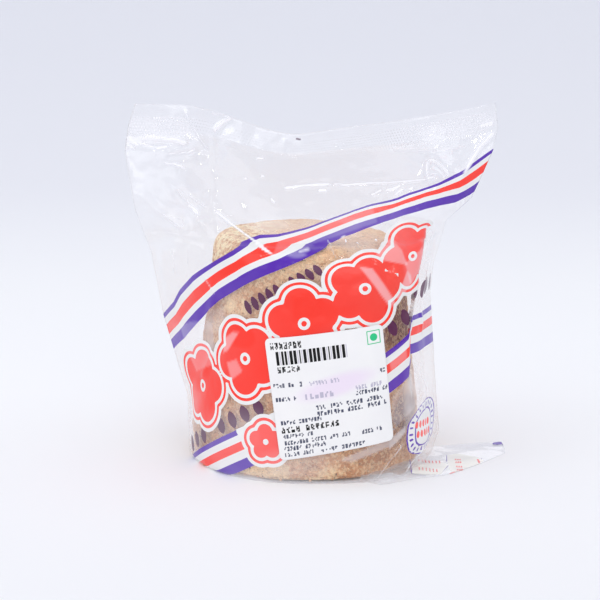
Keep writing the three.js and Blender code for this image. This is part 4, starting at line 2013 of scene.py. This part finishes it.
@dataclass
class Label:
    """The square paper label on the front."""

    side: float = 50.0
    corner: float = 2.2
    thickness: float = 0.12
    gap: float = 0.62
    across: float = 10.3
    height: float = 38.8
    turn: float = math.radians(7)
    fan: float = 0.85  # how far its lower corners are drawn in and round
    steps: int = 190
    seed: int = 17
    bars: tuple[float, float, float, float] = (-21.0, 9.1, 13.7, 19.3)  # left, right, foot, head
    bar_widths: tuple[float, ...] = (0.5, 0.9, 1.2)
    bar_gap: float = 0.45
    faint_bar: float = 0.3
    faint_chance: float = 0.45
    word: tuple[int, int] = (3, 8)  # the fewest and the most letters
    letter_fill: float = 0.7  # how much of a letter's room its blocks take across
    block_chance: float = 0.66
    badge: Pair = (20.6, 20.2)
    badge_half: float = 2.7
    badge_line: float = 0.36
    badge_dot: float = 1.6
    smudge: tuple[float, float, float, float] = (2.5, 2.6, 20.0, 5.6)  # middle and half sizes
    no_ink: float = 5.0  # the distance fields' value on the back
    finish: LabelFinish = LabelFinish()
    lines: tuple[Line, ...] = (
        Line(-22.9, -9.4, 20.2, 2.8, "black", 1.95, 3, 5),
        Line(-21.0, -10.8, 10.5, 2.5, "black", 2.0, 3, 5),
        Line(-23.8, -15.1, 4.5, 1.8, "grey"),
        Line(-12.5, -11.3, 4.2, 2.1, "grey"),
        Line(-8.5, 3.9, 4.0, 1.8, "faded"),
        Line(21.9, 24.4, 4.7, 1.8, "grey"),
        Line(-23.5, -14.6, -1.1, 1.7, "grey"),
        Line(-10.9, 0.3, -1.5, 2.3, "faded", 2.1),
        Line(10.7, 22.0, -0.6, 1.9, "faded"),
        Line(10.5, 24.4, -2.8, 1.8, "grey"),
        Line(-6.9, 22.8, -6.3, 1.9, "grey", 1.45),
        Line(-6.7, 23.2, -8.9, 1.9, "grey", 1.45),
        Line(-22.6, -4.4, -10.7, 1.7, "grey"),
        Line(-22.7, 2.5, -14.1, 2.4, "black", 2.1, 3, 4),
        Line(-22.3, -9.3, -16.3, 1.6, "grey"),
        Line(-22.1, 6.4, -19.0, 1.7, "grey"),
        Line(11.3, 19.3, -19.5, 1.8, "grey"),
        Line(-22.6, -4.4, -21.4, 1.8, "grey"),
        Line(-22.6, -10.4, -23.7, 1.6, "grey"),
        Line(-7.0, 13.7, -24.0, 1.7, "grey", 1.5),
    )

    def build(self, bag: Bag) -> Object:
        """Makes the label, bent round the film, with its print's fields on its vertices.

        Args:
            bag: The bag that it is on.

        Returns:
            The label.
        """
        own = self.outline()
        x, y = own.x, own.y
        cos, sin = math.cos(self.turn), math.sin(self.turn)
        lower = (0.5 - y / self.side) * self.fan * x / (self.side / 2)
        level = self.height + x * sin + y * cos + lower
        film, out = bag.on_front(self.across + x * cos - y * sin - lower, level)
        swell = 0.22 * own.grain(22.0, 91) + 0.06 * own.grain(7.0, 92)
        upper = film + out * (self.gap + swell)[..., None]
        points, faces = close_sheet(upper, upper - out * self.thickness)
        fields = {}
        for key, values in self.inks(own).items():
            bare = np.full(values.size, 0.0 if key == "stain" else self.no_ink)
            fields[key] = np.r_[values.ravel(), bare]
        return make_object("paper_label", points, faces, self.finish.make(), fields)

    def outline(self) -> Sheet:
        """A square grid of places on the label, with its corners drawn in to round ones.

        Returns:
            The places.
        """
        spots = np.linspace(-self.side / 2, self.side / 2, self.steps)
        sides = np.stack(np.meshgrid(spots, spots))
        inner = self.side / 2 - self.corner
        over = np.maximum(np.abs(sides) - inner, 0)
        scale = over.max(axis=0) / np.maximum(np.hypot(*over), 1e-9)
        rounded = np.sign(sides) * (inner + over * scale)
        return Sheet(*np.where((over > 0).all(axis=0), rounded, sides))

    def inks(self, at: Sheet) -> dict[str, Array]:
        """The signed distances in mm to each colour of print.

        Args:
            at: The points' places on the label.

        Returns:
            For each colour, its field.
        """
        x, y = at.x, at.y
        draw = random.Random(self.seed)
        fields = {name: np.full(x.shape, self.no_ink) for name in ("black", "grey", "faded")}
        for name, left, foot, wide, high in self.barcode(draw) + self.small_print(draw):
            away = np.maximum(
                np.abs(x - left - wide / 2) - wide / 2, np.abs(y - foot - high / 2) - high / 2
            )
            fields[name] = np.minimum(fields[name], away)
        badge = at.seen_from(*self.badge)
        frame = np.abs(np.maximum(np.abs(badge.x), np.abs(badge.y)) - self.badge_half)
        dot = np.hypot(badge.x, badge.y) - self.badge_dot
        fields["green"] = np.minimum(frame - self.badge_line / 2, dot)
        middle_x, middle_y, half_x, half_y = self.smudge
        off_x = (x - middle_x) / half_x
        off_y = (y - middle_y - 0.16 * (x - middle_x)) / half_y
        fields["stain"] = 0.9 * smooth(np.hypot(off_x, off_y), 1.1, 0.4)
        return fields

    def barcode(self, draw: random.Random) -> list[Box]:
        """The barcode's black bars, and faint ones in some of the gaps.

        Args:
            draw: The label's random numbers.

        Returns:
            The blocks of ink.
        """
        spot, right, foot, head = self.bars
        made = []
        while spot < right - max(self.bar_widths):
            width = draw.choice(self.bar_widths)
            made.append(("black", spot, foot, width, head - foot))
            spot += width + self.bar_gap
            if draw.random() < self.faint_chance:
                made.append(("faded", spot, foot, self.faint_bar, head - foot))
                spot += self.faint_bar + self.bar_gap
        return made

    def small_print(self, draw: random.Random) -> list[Box]:
        """The lines of print, in words with a space between them.

        Args:
            draw: The label's random numbers.

        Returns:
            The blocks of ink.
        """
        made = []
        for line in self.lines:
            spot, run = line.left, 0
            length = draw.randint(*self.word)
            wide = self.letter_fill * line.letter / line.columns
            high = line.height / line.rows
            while spot < line.right:
                for column, row in itertools.product(range(line.columns), range(line.rows)):
                    if draw.random() < self.block_chance:
                        left, foot = spot + column * wide, line.foot + row * high
                        made.append((line.ink, left, foot, wide, high))
                spot += line.letter
                run += 1
                if run >= length:
                    spot += line.letter
                    run, length = 0, draw.randint(*self.word)
        return made


# ---- what repeats


class Shape(Enum):
    """The small shapes that are set on many points."""

    PIP = "a low four-sided bump"
    GRAIN = "a rough grain"


@dataclass
class Scatter:
    """A geometry-nodes tree that sets one small shape on each of many points."""

    name: str
    shape: Shape
    size: float
    size_spread: float
    seed: int
    material: Material

    def tree(self) -> NodeTree:
        """Builds the tree, with its sizes as named inputs.

        Returns:
            The tree.
        """
        tree = bpy.data.node_groups.new(self.name, "GeometryNodeTree")
        add = partial(add_node, tree)
        for name, way, kind in (
            ("Geometry", "INPUT", "Geometry"),
            ("Size", "INPUT", "Float"),
            ("Spread", "INPUT", "Float"),
            ("Geometry", "OUTPUT", "Geometry"),
        ):
            tree.interface.new_socket(name, in_out=way, socket_type="NodeSocket" + kind)
        given = add("NodeGroupInput").node.outputs
        if self.shape is Shape.PIP:
            size = {"Vertices": 4, "Radius Top": 0.25, "Radius Bottom": 1.0, "Depth": 0.34}
            body = add("GeometryNodeMeshCone", size)
            named = {"Name": "facing"}
            facing = add("GeometryNodeInputNamedAttribute", named, data_type="FLOAT_VECTOR")
            spin = add("FunctionNodeAlignRotationToVector", {"Vector": facing}, axis="Z")
        else:
            ball = add("GeometryNodeMeshIcoSphere", {"Radius": 1.0, "Subdivisions": 2})
            rough = add("TexNoise", {"Scale": 1.3, "Detail": 2.0}, "Color")
            shift = add("VectorMath", {0: rough, 1: (0.5, 0.5, 0.5)}, operation="SUBTRACT")
            body = add("GeometryNodeSetPosition", {0: ball, "Offset": shift})
            turns = {0: (0, 0, 0), 1: (6.28, 6.28, 6.28), "Seed": self.seed}
            spin = add("FunctionNodeRandomValue", turns, data_type="FLOAT_VECTOR")
        low, high = (
            add("Math", {0: given["Size"], 1: given["Spread"]}, operation=way)
            for way in ("SUBTRACT", "ADD")
        )
        between = {2: low, 3: high, "Seed": self.seed + 1}
        scale = add("FunctionNodeRandomValue", between, 1, data_type="FLOAT")
        dots = add("GeometryNodeMeshToPoints", {0: given["Geometry"]})
        placed = {"Points": dots, "Instance": body, "Rotation": spin, "Scale": scale}
        done = add("GeometryNodeRealizeInstances", {0: add("GeometryNodeInstanceOnPoints", placed)})
        soft = {"Geometry": done, "Shade Smooth": self.shape is Shape.GRAIN}
        done = add("GeometryNodeSetShadeSmooth", soft)
        done = add("GeometryNodeSetMaterial", {"Geometry": done, "Material": self.material})
        add("NodeGroupOutput", {0: done})
        return tree

    def build(self, points: Array, fields: dict[str, Array] | None = None) -> Object:
        """Sets the shape on the points and turns the result into a plain mesh.

        Args:
            points: Where each goes, in mm round the lump's axis.
            fields: For pips, which way each is facing and its haze.

        Returns:
            The finished piece.
        """
        seat = put(self.name + "_seat", new_mesh(self.name + "_points", points, fields=fields))
        tree = self.tree()
        modifier = seat.modifiers.new(self.name, "NODES")
        modifier.node_group = tree
        sockets = {
            item.name: item.identifier
            for item in tree.interface.items_tree
            if item.in_out == "INPUT"
        }
        modifier[sockets["Size"]] = self.size * MM
        modifier[sockets["Spread"]] = self.size_spread * MM
        seen = seat.evaluated_get(bpy.context.evaluated_depsgraph_get())
        result = bpy.data.meshes.new_from_object(seen)
        result.name = self.name
        seat.modifiers.remove(modifier)
        bpy.data.objects.remove(seat)
        return put(self.name, result)


@dataclass
class Seal:
    """The pips that the sealing bar has pressed into the film's top."""

    pitch: float = 1.25
    row_gap: float = 0.87  # of the pitch
    low: float = 155.4
    high: float = 163.4
    left: float = -78.0
    right: float = 86.0
    bow: float = 1.5  # how far its right end rises
    bow_over: Pair = (20.0, 60.0)
    size: float = 0.42
    size_spread: float = 0.04
    seed: int = 9
    tree_seed: int = 5

    def build(self, bag: Bag, material: Material) -> Object:
        """Sets a low pip on the front film wherever the bar's pattern has one.

        Args:
            bag: The bag.
            material: The film's finish.

        Returns:
            The pips.
        """
        grid, out = bag.creased, outward(bag.creased, -1)
        draw = random.Random(self.seed)
        spots, facing, haze = [], [], []
        for row, up in enumerate(np.arange(self.low, self.high, self.pitch * self.row_gap)):
            across = np.arange(self.left, self.right, self.pitch) + self.pitch / 2 * (row % 2)
            lift = self.bow * smooth(across, *self.bow_over)
            index = np.interp(up + lift, bag.front.y[:, 0], np.arange(bag.rows))
            for spot, level in zip(across, index):
                low = min(int(level), bag.rows - 2)
                line = bag.front.x[low]
                if not line[2] < spot < line[-3]:
                    continue
                column = (spot - line[0]) / (line[1] - line[0])
                left = int(column)
                part, rest = level - low, column - left
                mix = np.outer([1 - part, part], [1 - rest, rest])[..., None]
                spots.append((grid[low : low + 2, left : left + 2] * mix).sum(axis=(0, 1)))
                facing.append(out[low, left])
                pressed = 0.05 + 0.35 * smooth(spot, -40, -56) + 0.3 * smooth(spot, 34, 56)
                # A few pips are painted whiter, as painted glints.
                haze.append(pressed + 0.6 * (draw.random() < 0.3 * (pressed - 0.05)))
        sizes = self.size, self.size_spread, self.tree_seed
        made = Scatter("seal_pips", Shape.PIP, *sizes, material)
        fields = {"facing": np.array(facing), "haze": np.array(haze)}
        return made.build(np.array(spots), fields)


@dataclass
class Crumbs:
    """Loose grains of jaggery that have come off the lump and lie in the bag."""

    count: int = 26
    size: float = 0.42
    size_spread: float = 0.24
    angles: Triple = (170.0, 370.0, 236.0)  # the first, the last and the likeliest
    inset: Pair = (0.4, 2.4)
    heights: Pair = (0.9, 1.7)
    seed: int = 23
    tree_seed: int = 7

    def build(self, lump: Lump, material: Material) -> Object:
        """Scatters the grains round the lump's foot, most of them in front on the left.

        Args:
            lump: The lump.
            material: Its finish.

        Returns:
            The grains.
        """
        draw = random.Random(self.seed)
        spots = []
        for _ in range(self.count):
            angle = math.radians(draw.triangular(*self.angles))
            radius = lump.base_radius - draw.uniform(*self.inset)
            x, y = radius * math.cos(angle), radius * math.sin(angle)
            spots.append((x, y, draw.uniform(*self.heights)))
        sizes = self.size, self.size_spread, self.tree_seed
        made = Scatter("jaggery_crumbs", Shape.GRAIN, *sizes, material)
        return made.build(np.array(spots))


# ---- the studio


class Seen(Enum):
    """What a light shows up in."""

    EVERYWHERE = "it lights and is mirrored"
    LIGHTS_ONLY = "it lights, but nothing mirrors it"
    MIRRORED_ONLY = "it is a glint on glossy things and lights nothing"


@dataclass(frozen=True)
class Softbox:
    """A bright rectangle that faces the bag, with its place and size in metres."""

    name: str
    at: Triple
    size: Pair
    glow: float  # how bright its face is, where white paper in full light is 1
    seen: Seen = Seen.EVERYWHERE
    faces: Triple = (0.0, 0.0, 0.08)

    def build(self) -> None:
        """Hangs the light."""
        lamp = bpy.data.lights.new(self.name, "AREA")
        lamp.shape = "RECTANGLE"
        lamp.size, lamp.size_y = self.size
        lamp.energy = self.glow * math.pi * self.size[0] * self.size[1]
        box = put(self.name, lamp)
        box.location = self.at
        way = Vector(self.faces) - Vector(self.at)
        box.rotation_euler = way.to_track_quat("-Z", "Y").to_euler()
        box.visible_camera = False
        box.visible_diffuse = self.seen is not Seen.MIRRORED_ONLY
        box.visible_glossy = self.seen is not Seen.LIGHTS_ONLY


@dataclass
class Studio:
    """The paper sweep, the soft lights and the camera."""

    aim: Triple = (-2.5, 0.0, 68.0)
    distance: float = 1000.0
    elevation: float = math.radians(12)
    lens: float = 138.0
    sweep_half: float = 3200.0
    sweep_front: float = -2600.0
    bend_start: float = 700.0
    bend_radius: float = 900.0
    wall_top: float = 2600.0
    room: str = "F0F2F9"
    room_light: float = 1.03
    boxes: tuple[Softbox, ...] = (
        Softbox("softbox_above", (0.0, -0.62, 1.55), (1.1, 0.8), 0.95, Seen.LIGHTS_ONLY),
        Softbox("card_above", (0.0, -0.60, 1.5), (1.3, 1.0), 0.6, Seen.MIRRORED_ONLY),
        Softbox("card_back", (0.0, 1.45, 0.6), (3.2, 0.9), 0.55, Seen.MIRRORED_ONLY),
        Softbox("card_front", (0.0, -2.6, 0.9), (2.4, 1.6), 0.5, Seen.MIRRORED_ONLY),
        Softbox("lamp_0", (-0.75, -0.55, 1.15), (0.05, 0.30), 12.0, Seen.MIRRORED_ONLY),
        Softbox("lamp_1", (0.80, -0.90, 0.90), (0.05, 0.25), 12.0, Seen.MIRRORED_ONLY),
        Softbox("lamp_2", (0.35, -1.10, 1.50), (0.20, 0.05), 12.0, Seen.MIRRORED_ONLY),
        Softbox("lamp_3", (-0.40, -1.60, 1.30), (0.05, 0.20), 12.0, Seen.MIRRORED_ONLY),
        Softbox("softbox_left", (-1.5, -0.9, 0.8), (1.0, 1.2), 0.8),
        Softbox("softbox_front", (0.5, -2.2, 1.0), (1.2, 1.0), 1.1),
    )
    finish: SweepFinish = SweepFinish()

    def sweep(self) -> Object:
        """Makes the floor and the wall behind it as one curved sheet.

        Returns:
            The sweep.
        """
        turn = np.linspace(0, math.pi / 2, 25)
        back = self.bend_start + self.bend_radius * np.sin(turn)
        height = self.bend_radius * (1 - np.cos(turn))
        line = [(self.sweep_front, 0.0), *zip(back, height), (back[-1], self.wall_top)]
        points = [(x, y, z) for y, z in line for x in (-self.sweep_half, self.sweep_half)]
        faces = [(2 * n, 2 * n + 1, 2 * n + 3, 2 * n + 2) for n in range(len(line) - 1)]
        return make_object("paper_sweep", np.array(points), faces, self.finish.make())

    def build(self) -> None:
        """Sets up the sweep, the lights, the world and the camera."""
        self.sweep()
        for box in self.boxes:
            box.build()
        scene = bpy.context.scene
        scene.world = bpy.data.worlds.new("room")
        scene.world.use_nodes = True
        room = scene.world.node_tree.nodes["Background"].inputs
        room["Color"].default_value = linear(self.room)
        room["Strength"].default_value = self.room_light
        scene.view_settings.view_transform = "Standard"
        camera = bpy.data.cameras.new("camera")
        camera.lens = self.lens
        camera.clip_start, camera.clip_end = 0.05, 20.0
        seat = put("camera", camera)
        back = np.array([0, -math.cos(self.elevation), math.sin(self.elevation)])
        seat.location = place(np.array(self.aim) + self.distance * back).tolist()
        seat.rotation_euler = (math.pi / 2 - self.elevation, 0, 0)
        scene.camera = seat


def main() -> None:
    """Builds every piece in order, and attaches each to the root."""
    logging.basicConfig(level=logging.INFO, format="%(name)s %(message)s")
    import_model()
    Studio().build()

    lump = Lump()
    mass = lump.build()
    jaggery = mass.data.materials[0]
    bag, label = Bag(lump), Label()
    film = bag.build(label)
    clear = film.data.materials[0]
    corner = FloorCorner().build(clear)
    pips = Seal().build(bag, clear)
    paper = label.build(bag)
    crumbs = Crumbs().build(lump, jaggery)
    for piece in (film, corner, pips):
        piece.visible_shadow = False  # so thin and clear a film throws next to none

    slots = {
        "jaggery": (mass, crumbs),
        "film": (film, corner, pips),
        "label_paper": (paper,),
    }
    for slot, pieces in slots.items():
        for piece in pieces:
            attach(piece, "root")
            LOG.info("%s: %d faces", piece.name, len(piece.data.polygons))
    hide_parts("bag")
    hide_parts("label")


if __name__ == "__main__":
    main()
